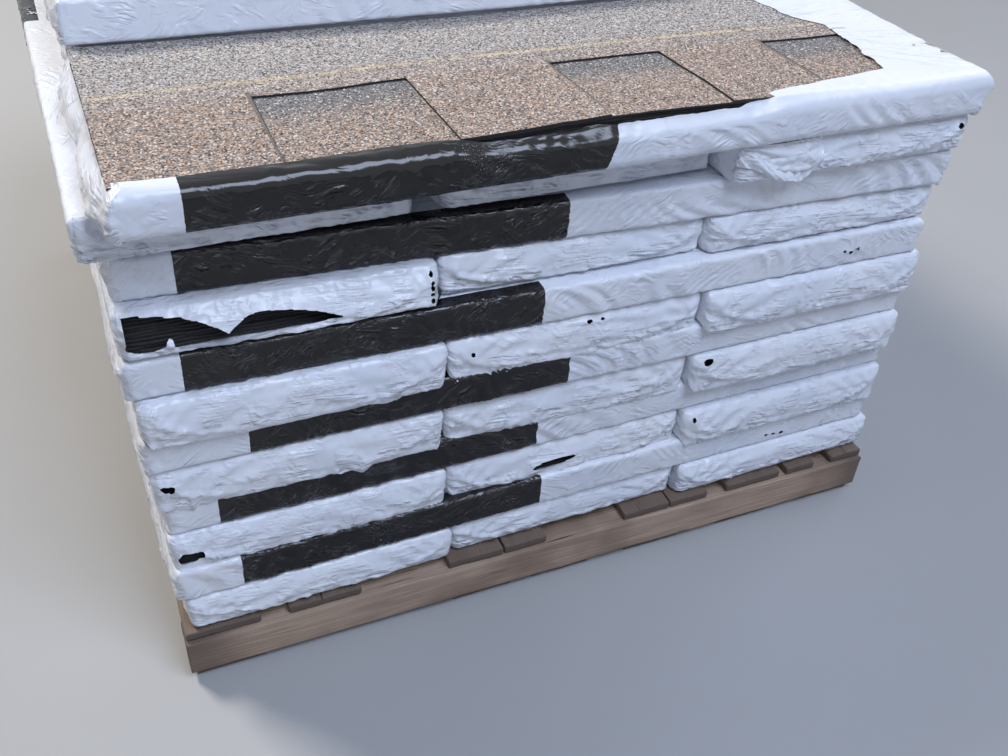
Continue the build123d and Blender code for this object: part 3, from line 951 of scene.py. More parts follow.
# %% Colour of the wood
def wood_colour(tree, at, warmth, end_grain, near_end, grain, fibre, stain, split):
    """Colour of a board from its grain and from where it has been wet."""
    band = add(tree, "MapRange", {"Value": grain, "From Min": -0.9, "From Max": 0.9}, RISE)
    colour = add(tree, "Mix", {0: band, 6: "#A8927F", 7: "#BFA893"}, BLEND, 2)
    dark = add(tree, "MapRange", {"Value": fibre, "From Min": 0.45, "From Max": 0.7, "To Max": 0.5}, RISE)
    colour = add(tree, "Mix", {0: dark, 6: colour, 7: "#806E60"}, BLEND, 2)
    damp = add(tree, "MapRange", {"Value": stain, "From Min": 0.45, "From Max": 0.72, "To Max": 0.8}, RISE)
    colour = add(tree, "Mix", {0: damp, 6: colour, 7: "#877568"}, BLEND, 2)
    wet = add(tree, "TexNoise", {"Vector": at, "Scale": 4.5, "Detail": 3.0, "Roughness": 0.6})
    wet = add(tree, "MapRange", {"Value": wet, "From Min": 0.50, "From Max": 0.68, "To Max": 0.7}, RISE)
    colour = add(tree, "Mix", {0: wet, 6: colour, 7: "#675648"}, BLEND, 2)
    squashed = add(tree, "Mapping", {"Vector": at, "Scale": (7, 16, 16)})
    knot = add(tree, "TexVoronoi", {"Vector": squashed, "Scale": 1.0}, None, "Distance")
    knot = add(tree, "MapRange", {"Value": knot, "From Min": 0.16, "From Max": 0.07}, RISE)
    colour = add(tree, "Mix", {0: knot, 6: colour, 7: "#3E2A1E"}, BLEND, 2)
    warm = add(tree, "Math", {0: warmth, 1: 0.45}, TIMES)
    colour = add(tree, "Mix", {0: warm, 6: colour, 7: "#A88A70"}, BLEND, 2)
    soaked = add(tree, "Math", {0: near_end, 1: 0.8}, TIMES)
    colour = add(tree, "Mix", {0: soaked, 6: colour, 7: "#5C4F46"}, BLEND, 2)
    drunk = add(tree, "Math", {0: end_grain, 1: 0.6}, TIMES)
    colour = add(tree, "Mix", {0: drunk, 6: colour, 7: "#4F4540"}, BLEND, 2)
    return add(tree, "Mix", {0: split, 6: colour, 7: "#2B211C"}, BLEND, 2)


# %% [markdown]
# Unplaned wood is matt, so roughness is 0.78. Raised fibre, open cracks and a trace of saw marks
# across the board are bump, because they are less than a millimetre deep.

# %% Weathered softwood
SAW_PITCH = 0.0028
FIBRE_HEIGHT = 0.0010


def wood_material():
    material, tree, shader = new_material("sawn_softwood_weathered")
    at = add(tree, "Attribute", {}, {"attribute_name": "board_at"}, "Vector")
    own = add(tree, "Attribute", {}, {"attribute_name": "board_tone"}, "Vector")
    warmth = add(tree, "SeparateXYZ", {0: own}, None, "X")
    end_grain = add(tree, "SeparateXYZ", {0: own}, None, "Y")
    near_end = add(tree, "SeparateXYZ", {0: own}, None, "Z")
    along = add(tree, "SeparateXYZ", {0: at}, None, "X")
    across = add(tree, "SeparateXYZ", {0: at}, None, "Y")
    through = add(tree, "SeparateXYZ", {0: at}, None, "Z")
    grain, fibre, stain, split = wood_grain(tree, at, across, through)
    colour = wood_colour(tree, at, warmth, end_grain, near_end, grain, fibre, stain, split)
    tree.links.new(colour, shader.inputs["Base Color"])
    shader.inputs["Roughness"].default_value = 0.78
    saw = add(tree, "Math", {0: along, 1: 2 * math.pi / SAW_PITCH}, TIMES)
    saw = add(tree, "Math", {0: saw}, {"operation": "SINE"})
    height = add(tree, "Math", {0: grain, 1: 0.12, 2: fibre}, {"operation": "MULTIPLY_ADD"})
    height = add(tree, "Math", {0: saw, 1: 0.04, 2: height}, {"operation": "MULTIPLY_ADD"})
    height = add(tree, "Math", {0: split, 1: -1.5, 2: height}, {"operation": "MULTIPLY_ADD"})
    bump = add(tree, "Bump", {"Height": height, "Strength": 0.8, "Distance": FIBRE_HEIGHT})
    tree.links.new(bump, shader.inputs["Normal"])
    return material


WOOD = wood_material()


# %% Count the materials
print("materials:", [material.name for material in bpy.data.materials])


# %% [markdown]
# Each bundle shows fine film on the side that faces out and coarse film where it is hidden against its
# neighbour. The front of the load is nearest the eye, so it has the closest samples of all.

# %% Sides and samples of a bundle
ROW_LENGTH = 3


def side_facing(bundle, direction):
    """Number of the side of a bundle that faces a direction of the load."""
    towards = [bundle["along"] * nx + bundle["across"] * ny for nx, ny in NORMALS]
    return int(np.argmax([np.dot(side, direction) for side in towards]))


LEFT, RIGHT, FRONT, BACK = [np.array(d, float) for d in ((-1, 0, 0), (1, 0, 0), (0, -1, 0), (0, 1, 0))]


def steps_of(bundle, row, rows):
    """Sample step of each side of a bundle, from where it lies in its course."""
    low, high = (FRONT, BACK) if lies_along(bundle) else (LEFT, RIGHT)
    steps = [PLAIN_STEP] * 4
    steps[side_facing(bundle, FRONT)] = FINE_STEP
    if row > 0:
        steps[side_facing(bundle, low)] = HIDDEN_STEP
    if row < rows - 1:
        steps[side_facing(bundle, high)] = HIDDEN_STEP
    return steps


# %% [markdown]
# The printed bands that show were measured on the load, in millimetres to the right of its middle.
# Every other bundle has its band on one long side, a little further left or right each time, apart
# from the first of the part course, whose front is plain.

# %% Printed bands
PRINT_SPANS = {
    12: (-440, -5), 10: (-443, -20), 8: (-458, -55), 6: (-402, -14), 4: (-445, -47), 2: (-430, -38),
}
BAND_DRIFT = 22.0


def band_of(bundle, course, row):
    """Side and ends of the printed band, along the side as a viewer sees it."""
    if lies_along(bundle) and row == 0 and course in PRINT_SPANS:
        start, stop = PRINT_SPANS[course]
        return NEAR_SIDE, start - bundle["centre"][0], stop - bundle["centre"][0]
    if course == PART_COURSE and row == 1:
        return None
    shift = BAND_DRIFT * float(noise(course * 3.7, row * 5.1, seed=8))
    if lies_along(bundle):
        side = FAR_SIDE
    else:
        side = NEAR_SIDE if row == ROW_LENGTH - 1 else FAR_SIDE
    return side, BAND_FROM + shift, BAND_TO + shift


# %% [markdown]
# The holes, tongues and splayed ends of the front are listed by course and row. A hole tells
# its place on the face and half its size, and a tongue its place, half its width and its drop. A hem
# hangs by a different length in each course.

# %% Damage and hems
HOLES = {
    (3, 0): [lens(-148, -3, 16, 7.0, 0.04, seed=1)],
    (5, 0): [lens(-151, 5, 8.5, 4.8, -0.1, seed=2)],
    (5, 2): [lens(-146, 15, 9, 3.4, 0.1, seed=3)],
    (7, 1): [lens(-139, 6, 3.2, 2.0, seed=4), lens(10, 16, 4, 2.2, seed=5), lens(27, 16, 3, 2.0, seed=6)],
    (3, 1): [lens(-20, -3, 33, 4.6, 0.05, seed=7)],
    (3, 2): [lens(-154, 14, 3.5, 3.0, seed=8)],
    (2, 0): [
        lens(325, -9, 3.5, 2.4, seed=9), lens(338, -10, 3.5, 2.0, seed=10), lens(352, -11, 4, 2.4, seed=11),
    ],
    (8, 0): [
        lens(379, -1, 3.2, 2.2, seed=13), lens(389, -4, 3.6, 2.6, seed=14), lens(399, 0, 3, 2.2, seed=15),
    ],
    (11, 2): [lens(152, 11, 4.5, 3.5, seed=12)],
}
TONGUES = {
    (5, 0): [(66, 13, 9), (-128, 7, 8)], (7, 0): [(95, 20, 5)],
    (3, 1): [(-60, 12, 6)], (9, 1): [(120, 16, 7)],
}
HANG = {
    1: 0.0, 2: 8.0, 3: 12.0, 4: 7.0, 5: 13.0, 6: 9.0, 7: 13.0, 8: 7.0, 9: 1.0, 10: 8.0,
    11: 0.0, 12: 0.0, 13: 7.0,
}
SPLAYED = {(11, 1): 15.0, (11, 0): 9.0}
STRENGTH = {13: 0.5, 8: 1.1, 10: 1.0}
FLAP_COURSE = 11
PART_DRAPE = 12.0
print("damaged bundles:", len(HOLES), "with tongues:", len(TONGUES))

# %% [markdown]
# One bundle has a loose flap of torn film over its front. It is a small grid of its own with a ragged
# lower edge, crumpled like the ends, and it stands further off the lower it hangs.

# %% Loose flap
def loose_flap(bundle, seed):
    """A torn, crumpled piece of film that hangs over the front of a bundle."""
    share, down = np.meshgrid(np.linspace(0, 1, 54), np.linspace(0, 1, 26), indexing="ij")
    lower = np.interp(share, (0, 0.12, 0.3, 0.55, 0.75, 0.9, 1), (2, -1, -9, -22, -27, -22, -10))
    lower = lower + 2.2 * noise(share * 16, 0.3, seed=seed)
    right = -169 + 112 * share + 3 * noise(down * 3, share * 4, seed=seed + 1)
    height = 24 + (lower - 24) * down
    turn = np.arctan2(right + 190, 30 - height)
    folds = 1.6 * np.sin(26 * turn + 3 * noise(right / 40, height / 14, seed=seed + 2))
    folds = folds + 1.2 * pleats(right + height, height, 9, 12, seed + 3)
    stands = 5.0 + 7.5 * down * smooth_step(share * 2.4) + 1.3 * folds
    stands = stands + 1.5 * noise(right / 30, height / 20, seed=seed + 4)
    x, y = right, -bundle["width"] / 2 - FILM_INSET - np.maximum(stands, 1.2)
    if not lies_along(bundle):
        x, y = -bundle["length"] / 2 - FILM_INSET - np.maximum(stands, 1.2), -right
    points = settled(to_load(bundle, x, y, height).reshape(-1, 3))
    film_at = np.stack([share * 0.112, down * 0.05, seed + 0 * share], axis=-1).reshape(-1, 3)
    faces = [face[::-1] for face in grid_faces(*share.shape)]
    return points, faces, {"print_at": np.zeros((share.size, 3)), "film_at": film_at}


# %% [markdown]
# The wraps of a course share one CAD node, so they are joined into one piece. The part course shows
# its top, and its front film is loose.

# %% Wrap the full courses
def add_wraps(course, parts):
    """One piece for the wraps of a course. Returns its number of triangles."""
    points, faces, values = joined(parts)
    piece = add_piece(node_name(course, "film"), points, faces, [FILM], values)
    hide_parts(node_name(course, "wraps"))
    return sum(len(face) - 2 for face in faces)


def row_of(course, index):
    """Row of a bundle in its course. The first row of three courses is torn or taken away."""
    return index + (1 if course in (TORN_END_COURSE, TORN_TOP_COURSE, PART_COURSE) else 0)


film_triangles = 0
for course in COURSES:
    parts = []
    is_part = course == PART_COURSE
    for index, bundle in enumerate(bundles[course]):
        row = row_of(course, index)
        steps = steps_of(bundle, row - is_part, ROW_LENGTH - is_part)
        front = side_facing(bundle, FRONT)
        parts.append(wrap_mesh(
            bundle, steps, course * 3 + row, STRENGTH.get(course, 1.0), band_of(bundle, course, row),
            [(front, hole) for hole in HOLES.get((course, row), ())], HANG[course], is_part,
            bulge=SPLAYED.get((course, row), BULGE), front_drape=PART_DRAPE if is_part and row == 1 else 0.0,
            tongues=TONGUES.get((course, row), ())))
    if course == FLAP_COURSE:
        parts.append(loose_flap(bundles[course][-1], 83))
    film_triangles += add_wraps(course, parts)
print("film triangles in full wraps:", film_triangles)


# %% [markdown]
# Inside every wrap lie thirteen shingles, nested face to back. Their cut edges are black and a little
# uneven. They show only through holes in the film, so each stack is one band with a ledge for each
# shingle. It is drawn in from the film, so that no crease dips through it, and its top is left open
# because the film covers it. Where a hole shows the stack, its lower sheets have crept forward.

# %% Stacks of shingles inside the wraps
STACK_INSET, CREEP = 6.0, 9.0
SHINGLES = 13
PUSHED_FORWARD = ((3, 0), (3, 1), (5, 0), (5, 2))
PLAIN_LEDGE = ((0.0, 1.4), (0.5, 0.0))
FINE_LEDGE = ((0.0, 1.4), (0.2, 0.0), (0.7, 0.0), (0.88, 1.4))


def stack_mesh(bundle, seed, step=120.0, inset=STACK_INSET, rag=1.2, fine_side=None, count=SHINGLES,
               creep=0.0):
    """A stack of sheets as one ribbed band, closed below and open above."""
    steps = [step] * 4
    if fine_side is not None:
        steps[fine_side] = 3.0
    ring = outline(bundle["length"], bundle["width"], steps, LEFT_END if lies_along(bundle) else RIGHT_END)
    side, ax, ay, bx, by, part, nx, ny = [ring[:, i][:, None] for i in range(8)]
    levels, ledges = [], []
    pitch = (bundle["height"] - 1.0) / count
    for sheet in range(count):
        top = bundle["height"] / 2 - 0.5 - sheet * pitch
        for share, ledge in (PLAIN_LEDGE if fine_side is None else FINE_LEDGE):
            levels.append(top - share * pitch)
            ledges.append((sheet, ledge))
    level = np.array(levels)[None, :]
    sheet = np.array(ledges)[:, 0][None, :]
    back = inset + np.array(ledges)[:, 1][None, :]
    x = (ax + (bx - ax) * part) * (bundle["length"] / 2 - CORNER_RADIUS) + CORNER_RADIUS * nx
    y = (ay + (by - ay) * part) * (bundle["width"] / 2 - CORNER_RADIUS) + CORNER_RADIUS * ny
    wave = rag * noise((x + y) / 34, sheet * 2.7, seed=seed)
    wave = wave + 0.4 * rag * noise((x + 2 * y) / 5, sheet * 3.1, seed=seed)
    forward = creep * (sheet / count) ** 1.3 * (side == fine_side)
    x, y = x - nx * (back - wave - forward), y - ny * (back - wave - forward)
    z = level + 0 * x
    points = settled(to_load(bundle, x, y, z).reshape(-1, 3))
    rows, columns = x.shape
    faces = grid_faces(rows, columns)
    faces.append([i * columns + columns - 1 for i in range(rows - 2, -1, -1)])
    return points, faces, {}


# %% [markdown]
# The stacks of a course stand for one CAD node too. They are shaded flat, because a cut edge is sharp.

# %% Place the stacks
def add_stacks(name, parts, *nodes):
    points, faces, values = joined(parts)
    piece = add_piece(name, points, faces, [FELT], values, smooth=False)
    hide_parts(*nodes)


for course in COURSES:
    stacks = []
    for i, bundle in enumerate(bundles[course]):
        shown = (course, i) in PUSHED_FORWARD
        close = {"fine_side": side_facing(bundle, FRONT), "creep": CREEP} if shown else {}
        stacks.append(stack_mesh(bundle, course * 5 + i, **close))
    add_stacks(node_name(course, "stacks"), stacks, node_name(course, "shingles"))
print("stacks:", sum(len(course) for course in bundles.values()))


# %% [markdown]
# One bundle has its front end ripped open. The hole is long and low, with a pointed tongue of film that
# still hangs from its upper edge. A few points joined by straight lines give the outline, in millimetres
# to the right of the middle of the end and above it. The shingle edges behind it get close samples.

# %% Torn end
TORN_END_HOLE = np.array([
    (-164, 20), (-147, 20), (-121, 17), (-103, 14), (-90, 9), (-80, 5), (-71, 0), (-61, -7), (-56, -3),
    (-50, 1), (-45, 5), (-40, 8), (-26, 9), (-10, 8), (10, 5), (31, 0), (58, -9), (32, -12), (9, -13),
    (-33, -15), (-75, -17), (-95, -17), (-108, -16), (-114, -12), (-115, -4), (-118, -1), (-121, -5),
    (-124, -11), (-135, -15), (-148, -14), (-160, -9), (-165, 0),
], float)
TORN_END_SPREAD, TORN_END_CREEP = 20.0, 16.0
NICKS = [lens(157, height, 2.6, 2.6, seed=height) for height in (15, 7, 1, -6, -13)]
torn_steps = steps_of(torn_end_bundle, 0, ROW_LENGTH)
torn_side = side_facing(torn_end_bundle, FRONT)
torn_holes = [(torn_side, hole) for hole in [TORN_END_HOLE] + NICKS]
torn_band = band_of(torn_end_bundle, TORN_END_COURSE, 0)
points, faces, values = wrap_mesh(torn_end_bundle, torn_steps, 97, band=torn_band, holes=torn_holes,
                                  hang=0.0, bulge=TORN_END_SPREAD)
piece = add_piece("torn_end_film", points, faces, [FILM], values)
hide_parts("torn_end_wrap")
torn_stack = stack_mesh(torn_end_bundle, 61, rag=1.8, fine_side=torn_side, creep=TORN_END_CREEP)
add_stacks("torn_end_stack", [torn_stack], "torn_end_shingles")
print("torn end:", len(faces), "faces")


# %% [markdown]
# The top bundle is torn open above, so its wrap is a tray: loose in front, tight behind, and with a
# ragged edge. A target point for each sample of the outline says where the film ends, and the rows of
# the top run to it. On the right the film still covers a hand's breadth of the shingles, and its rim
# there follows a few measured places, in millimetres from the middle of the bundle.

# %% Rim of the torn top
LEFT_FLAP, BACK_FLAP = 1.0, 2.0
CORNER_REACH = 13.0
FRONT_RIM = ((-500, -160), (-210, -161), (-150, -171), (150, -171), (210, -155), (290, -143), (379, -130))
RIGHT_RIM = ((-150, 372), (-130, 379), (-58, 400), (24, 400), (104, 367), (176, 352))
FRONT_SLACK = 16.0


def torn_rim(x, y, length, width):
    """Where the film over the torn top ends, for each sample of the outline."""
    front_x, front_y = np.array(FRONT_RIM).T
    right_y, right_x = np.array(RIGHT_RIM).T
    corner_x, corner_y = FRONT_RIM[-1]
    rim_x = np.clip(x, -length / 2 + LEFT_FLAP, None)
    rim_y = np.where(y < 0, np.interp(x, front_x, front_y), width / 2 - BACK_FLAP)
    beyond = np.clip((x - corner_x) / (length / 2 - CORNER_REACH - corner_x), 0, 1)
    at_end = np.clip((y + width / 2 - CORNER_REACH) / (width - 2 * CORNER_REACH), 0, 1)
    along_front, along_back = corner_y + (-90 - corner_y) * beyond, 160 - 50 * beyond
    up_rim = np.where(y < 0, along_front, along_back)
    up_rim = np.where(x > length / 2 - CORNER_REACH, -90 + 200 * at_end, up_rim)
    on_right = x > np.where(y < 0, corner_x, 355)
    rim_y = np.where(on_right, up_rim, rim_y)
    rim_x = np.where(on_right, np.interp(up_rim, right_y, right_x), rim_x)
    rag = 3.2 * noise(rim_x / 26, rim_y / 26, seed=5) + 1.2 * noise(rim_x / 6, rim_y / 6, seed=6)
    ends = (x < CORNER_REACH - length / 2) & (np.abs(y) < width / 2 - CORNER_REACH)
    rim_y = np.where(ends, np.clip(y, front_y[0], width / 2 - BACK_FLAP), rim_y)
    return rim_x + 2.0 * rag * on_right, rim_y + 0.4 * rag * (y < 0) * ~on_right + FRONT_SLACK / 2 * (y < 0)


# %% [markdown]
# The open stack has risen in the middle of its front, and the film follows it. At the left the film
# swells out below the shingle and ends at its edge, behind it is tucked in, and at the right it is
# pulled clear of the shingle's corner. In front it sags where the black plies show.

# %% Fit the film to the open stack
PLY_SHOWN_FROM, PLY_SHOWN_TO = -190.0, 215.0
PLY_SHOWN_DROP = 6.0
HUMP, HUMP_PLACE, HUMP_SPREAD = 9.0, 70.0, 165.0
LEFT_SWELL, RIGHT_PULL = 7.0, 7.5
BACK_TUCK = 7.0


def bow(x, y):
    """How far the open stack has risen, in the bundle's own axes."""
    rise = 2.6 * noise(x / 230 + 0.4, y / 190, seed=14) + 1.2 * noise(x / 90, y / 120, seed=15)
    hump = HUMP * np.exp(-((x - HUMP_PLACE) / HUMP_SPREAD) ** 2) * smooth_step((-y - 10) / 130)
    return rise + 1.6 + hump


def torn_top_shape(x, y, z):
    """Fits the film to the bowed shingles, tucks it in behind them and lets it swell at the left."""
    half_length, half_width = torn_top_bundle["length"] / 2, torn_top_bundle["width"] / 2
    own_y = y - FRONT_SLACK / 2
    span = smooth_step((x - PLY_SHOWN_FROM) / 60) * smooth_step((PLY_SHOWN_TO - x) / 60)
    front = smooth_step((-y - half_width + 34) / 30)
    drop = PLY_SHOWN_DROP * span * front * smooth_step((z - 2) / 16)
    tucked = BACK_TUCK * smooth_step((y - half_width + 14) / 10) * smooth_step((z - 10) / 12)
    inner = np.minimum(half_length - np.abs(x), half_width - np.abs(own_y))
    over = smooth_step((inner + 9) / 8) * (z > torn_top_bundle["height"] / 2 - 6)
    lifted = z + over * (np.maximum(bow(x, own_y), 0) - 0.6) - drop - tucked
    beside = smooth_step((half_width - 12 - np.abs(y)) / 22) * (x < 14 - half_length)
    swell = LEFT_SWELL * (0.8 + 0.5 * noise(y / 60, 0.4, seed=33)) + 2.0 * noise(y / 17, z / 20, seed=34)
    swell = swell * smooth_step((z + 24) / 16) * smooth_step((24 - z) / 18)
    outside = np.minimum(x, -half_length - 0.6) - swell
    rag = 2.4 * noise(y / 26, 0.2, seed=36) + 1.2 * noise(y / 8, 0.8, seed=37)
    lifted = lifted + beside * (0.5 + rag) * smooth_step((z - 12) / 10)
    pulled = RIGHT_PULL * smooth_step((x - half_length + 16) / 4) * smooth_step((z + 2) / 14)
    return x + beside * (outside - x) + pulled, lifted


# %% [markdown]
# The tray is a wrap like the others, with its rim, its fit, a softer edge in front and some slack.

# %% Torn top wrap
TRAY_RADIUS = 12.0
PRINT_SLANT = 0.32
top_steps = steps_of(torn_top_bundle, 0, ROW_LENGTH)
start, stop = PRINT_SPANS[TORN_TOP_COURSE]
top_band = (NEAR_SIDE, start - torn_top_bundle["centre"][0], stop - torn_top_bundle["centre"][0])
points, faces, values = wrap_mesh(torn_top_bundle, top_steps, 131, strength=0.8, band=top_band, hang=8.0,
                                  tear=torn_rim, shape=torn_top_shape, widen=FRONT_SLACK,
                                  radius=TRAY_RADIUS, slant=PRINT_SLANT)
piece = add_piece("torn_top_film", points, faces, [FILM], values)
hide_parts("torn_top_wrap")
print("torn top:", len(faces), "faces")


# %% [markdown]
# The open shingle is laminated: an upper sheet with wide teeth over a plain backing strip. Each is a
# grid of the real outline. Grid lines are moved onto the sides of the cutouts, and the points there
# lean, so that a cutout widens by a few millimetres towards the front edge.

# %% Grid of a shingle
CUTOUTS = ((161.0, 166.0), (498.0, 144.0), (787.0, 123.0))
CUTOUT_DEPTH = 155.0
CUTOUT_TAPER = 3.0
PLY = 2.5
BACKING_WIDTH = 170.0
SHINGLE_STEP = 6.5


def sheet_grid(x_from, x_to, y_from, y_to, cutouts):
    """Points, cells that stay and the points on each cutout's left edge, which carry a painted shadow line.
    x and y run from the front left corner.
    """
    lines_x = list(np.arange(x_from, x_to, SHINGLE_STEP)) + [x_to]
    lines_y = list(np.arange(y_from, y_to, SHINGLE_STEP)) + [y_to]
    for start, width in cutouts:
        for edge in (start, start + width):
            lines_x[int(np.argmin(np.abs(np.array(lines_x) - edge)))] = edge
    if cutouts:
        lines_y[int(np.argmin(np.abs(np.array(lines_y) - CUTOUT_DEPTH)))] = CUTOUT_DEPTH
    x, y = np.meshgrid(lines_x, lines_y, indexing="ij")
    keep = np.ones((len(lines_x) - 1, len(lines_y) - 1), bool)
    middle_x = (x[:-1, :-1] + x[1:, 1:]) / 2
    middle_y = (y[:-1, :-1] + y[1:, 1:]) / 2
    lean, painted_shadow_edge = np.zeros(x.shape), np.zeros(x.shape)
    for start, width in cutouts:
        keep &= ~((middle_x > start) & (middle_x < start + width) & (middle_y < CUTOUT_DEPTH))
        depth = np.clip(1 - y / CUTOUT_DEPTH, 0, 1)
        lean += np.where(np.abs(x - start) < 1, -CUTOUT_TAPER, 0) * depth
        lean += np.where(np.abs(x - start - width) < 1, CUTOUT_TAPER, 0) * depth
        # Only the left edge of each cutout is marked, where the granules paint a shadow line.
        painted_shadow_edge += (np.abs(x - start) < 1) & (y <= CUTOUT_DEPTH)
    x = x + lean + 0.5 * noise(x / 9, y / 9, seed=21) * ((y == y_from) | (x == x_from) | (x == x_to))
    y = y + 0.7 * noise(x / 7, 0.5, seed=22) * (y == y_from)
    return x, y, keep, painted_shadow_edge


# %% [markdown]
# Both faces and the cut edges make a sheet of real thickness, and a slow bow lifts it where the stack
# below has crept. Edges are the sides of cells that no other cell shares. The granules read how far a
# point lies from the left end and from the front edge, and a third value that marks the backing and the
# painted shadow line at each cutout's left edge.

# %% Sheet with a thickness
def sheet_mesh(bundle, x_from, x_to, y_from, y_to, top, thickness, cutouts=(), on_backing=0.0):
    """A sheet with both faces and its edges, and the finish of each face."""
    x, y, keep, painted_shadow_edge = sheet_grid(x_from, x_to, y_from, y_to, cutouts)
    own_x, own_y = x - bundle["length"] / 2, y - bundle["width"] / 2
    rise = bow(own_x, own_y) + 0.25 * noise(x / 14, y / 14, seed=23)
    upper = to_load(bundle, own_x, own_y, top + rise).reshape(-1, 3)
    lower = to_load(bundle, own_x, own_y, top - thickness + rise).reshape(-1, 3)
    quads = np.array(grid_faces(*x.shape, keep=keep))
    count = len(upper)
    top_faces = quads[:, ::-1]
    bottom_faces = quads + count
    edges = {}
    for face in top_faces.tolist():
        for a, b in zip(face, face[1:] + face[:1]):
            if (b, a) in edges:
                del edges[(b, a)]
            else:
                edges[(a, b)] = True
    sides = [[b, a, a + count, b + count] for a, b in edges]
    # The third value is 1 on the backing, 0 on the overlay and -1 on the painted shadow line beside a
    # cutout.
    values = np.stack([x / METRE, y / METRE, on_backing - painted_shadow_edge], axis=-1).reshape(-1, 3)
    points = np.concatenate([upper, lower])
    faces = top_faces.tolist() + bottom_faces.tolist() + sides
    finish = [0] * len(quads) + [1] * (len(quads) + len(sides))
    return settled(points), faces, {"shingle_at": np.concatenate([values, values])}, finish


# %% [markdown]
# The overlay lies on the backing, which shows through its cutouts. Granules go on the upper faces only.

# %% Top shingle
top_of_stack = CORE_HEIGHT / 2
overlay = sheet_mesh(torn_top_bundle, 0, torn_top_bundle["length"], 0, torn_top_bundle["width"],
                     top_of_stack, PLY, CUTOUTS)
backing = sheet_mesh(torn_top_bundle, 0.5, torn_top_bundle["length"] - 0.5, 0.5, BACKING_WIDTH,
                     top_of_stack - PLY, PLY, on_backing=1.0)
for name, sheet in (("top_shingle_overlay", overlay), ("top_shingle_backing", backing)):
    points, faces, values, finish = sheet
    piece = add_piece(name + "_sheet", points, faces, [GRANULES, FELT], values, smooth=False,
                      face_finish=finish)
    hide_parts(name)
print("shingle faces:", len(overlay[1]), len(backing[1]))


# %% [markdown]
# Twelve more shingles lie under the open one. Only their front and left edges show, as thin black plies
# that creep past each other, so they are one ribbed band with twelve ledges, which follows the bow.

# %% Shingles under the open one
floor_of_stack = -CORE_HEIGHT / 2
lower_height = CORE_HEIGHT - 2 * PLY
lower_block = dict(torn_top_bundle)
lower_block["height"] = lower_height
lower_block["centre"] = torn_top_bundle["centre"] + UP * (floor_of_stack + lower_height / 2)


def bowed_stack(bundle, seed, count):
    points, faces, values = stack_mesh(bundle, seed, step=12.0, inset=1.5, rag=0.9, fine_side=NEAR_SIDE,
                                       count=count)
    own = points - bundle["centre"]
    x, y, z = own @ bundle["along"], own @ bundle["across"], own[:, 2]
    share = np.clip(z / bundle["height"] + 0.5, 0, 1)
    points = points + np.outer(share * (bow(x, y) - 0.3), UP)
    return points, faces, values


add_stacks("torn_top_stack", [bowed_stack(lower_block, 71, SHINGLES - 1)], "torn_top_shingles")


# %% [markdown]
# A pallet board is a rough-sawn block with worn edges. A grid over all six faces is drawn in to rounded
# edges, whose radius wanders where the wood is chipped, and then pushed about by noise. One function
# makes every board from its CAD box, and its samples are closer along the edges.

# %% Grid of a board
EDGE_WEAR = 1.8
BOARD_STEP = 14.0
BOARD_INSET = 0.5


def edge_samples(half, step, wear):
    flat = half - 2.4 * wear
    inner = list(np.linspace(-half + 2.4 * wear, flat, max(2, round(2 * flat / step)) + 1))
    rim = [half - 1.2 * wear, half - 0.4 * wear, half]
    return np.array([-value for value in reversed(rim)] + inner + rim)


def box_mesh(half, step):
    """Points and faces of a box with the half sizes, its six sides sewn together."""
    samples = [edge_samples(size, step, EDGE_WEAR) for size in half]
    parts = []
    for axis in range(3):
        a, b = (axis + 1) % 3, (axis + 2) % 3
        for sign in (-1, 1):
            first, second = np.meshgrid(samples[a], samples[b], indexing="ij")
            points = np.zeros(first.shape + (3,))
            points[..., a], points[..., b], points[..., axis] = first, second, sign * half[axis]
            faces = grid_faces(*first.shape)
            faces = faces if sign > 0 else [face[::-1] for face in faces]
            faces = [[face[0], face[3], face[2], face[1]] for face in faces]
            parts.append((points.reshape(-1, 3), faces, {}))
    points, faces = joined(parts)[:2]
    spots, spot_of = np.unique(np.round(points, 3), axis=0, return_inverse=True)
    return spots, [[int(spot_of.ravel()[corner]) for corner in face] for face in faces]


# %% [markdown]
# Wear rounds the edges more in some places than in others. The sawn faces are rough, and the ends are
# rougher, with grooves where the blade tore the grain. The board also stores its own axes, its tone,
# its end grain and how near its ends a point lies, which the wood's finish reads.

# %% Wear of a board
ROUGHNESS = 0.45
SOAK_REACH = 90.0


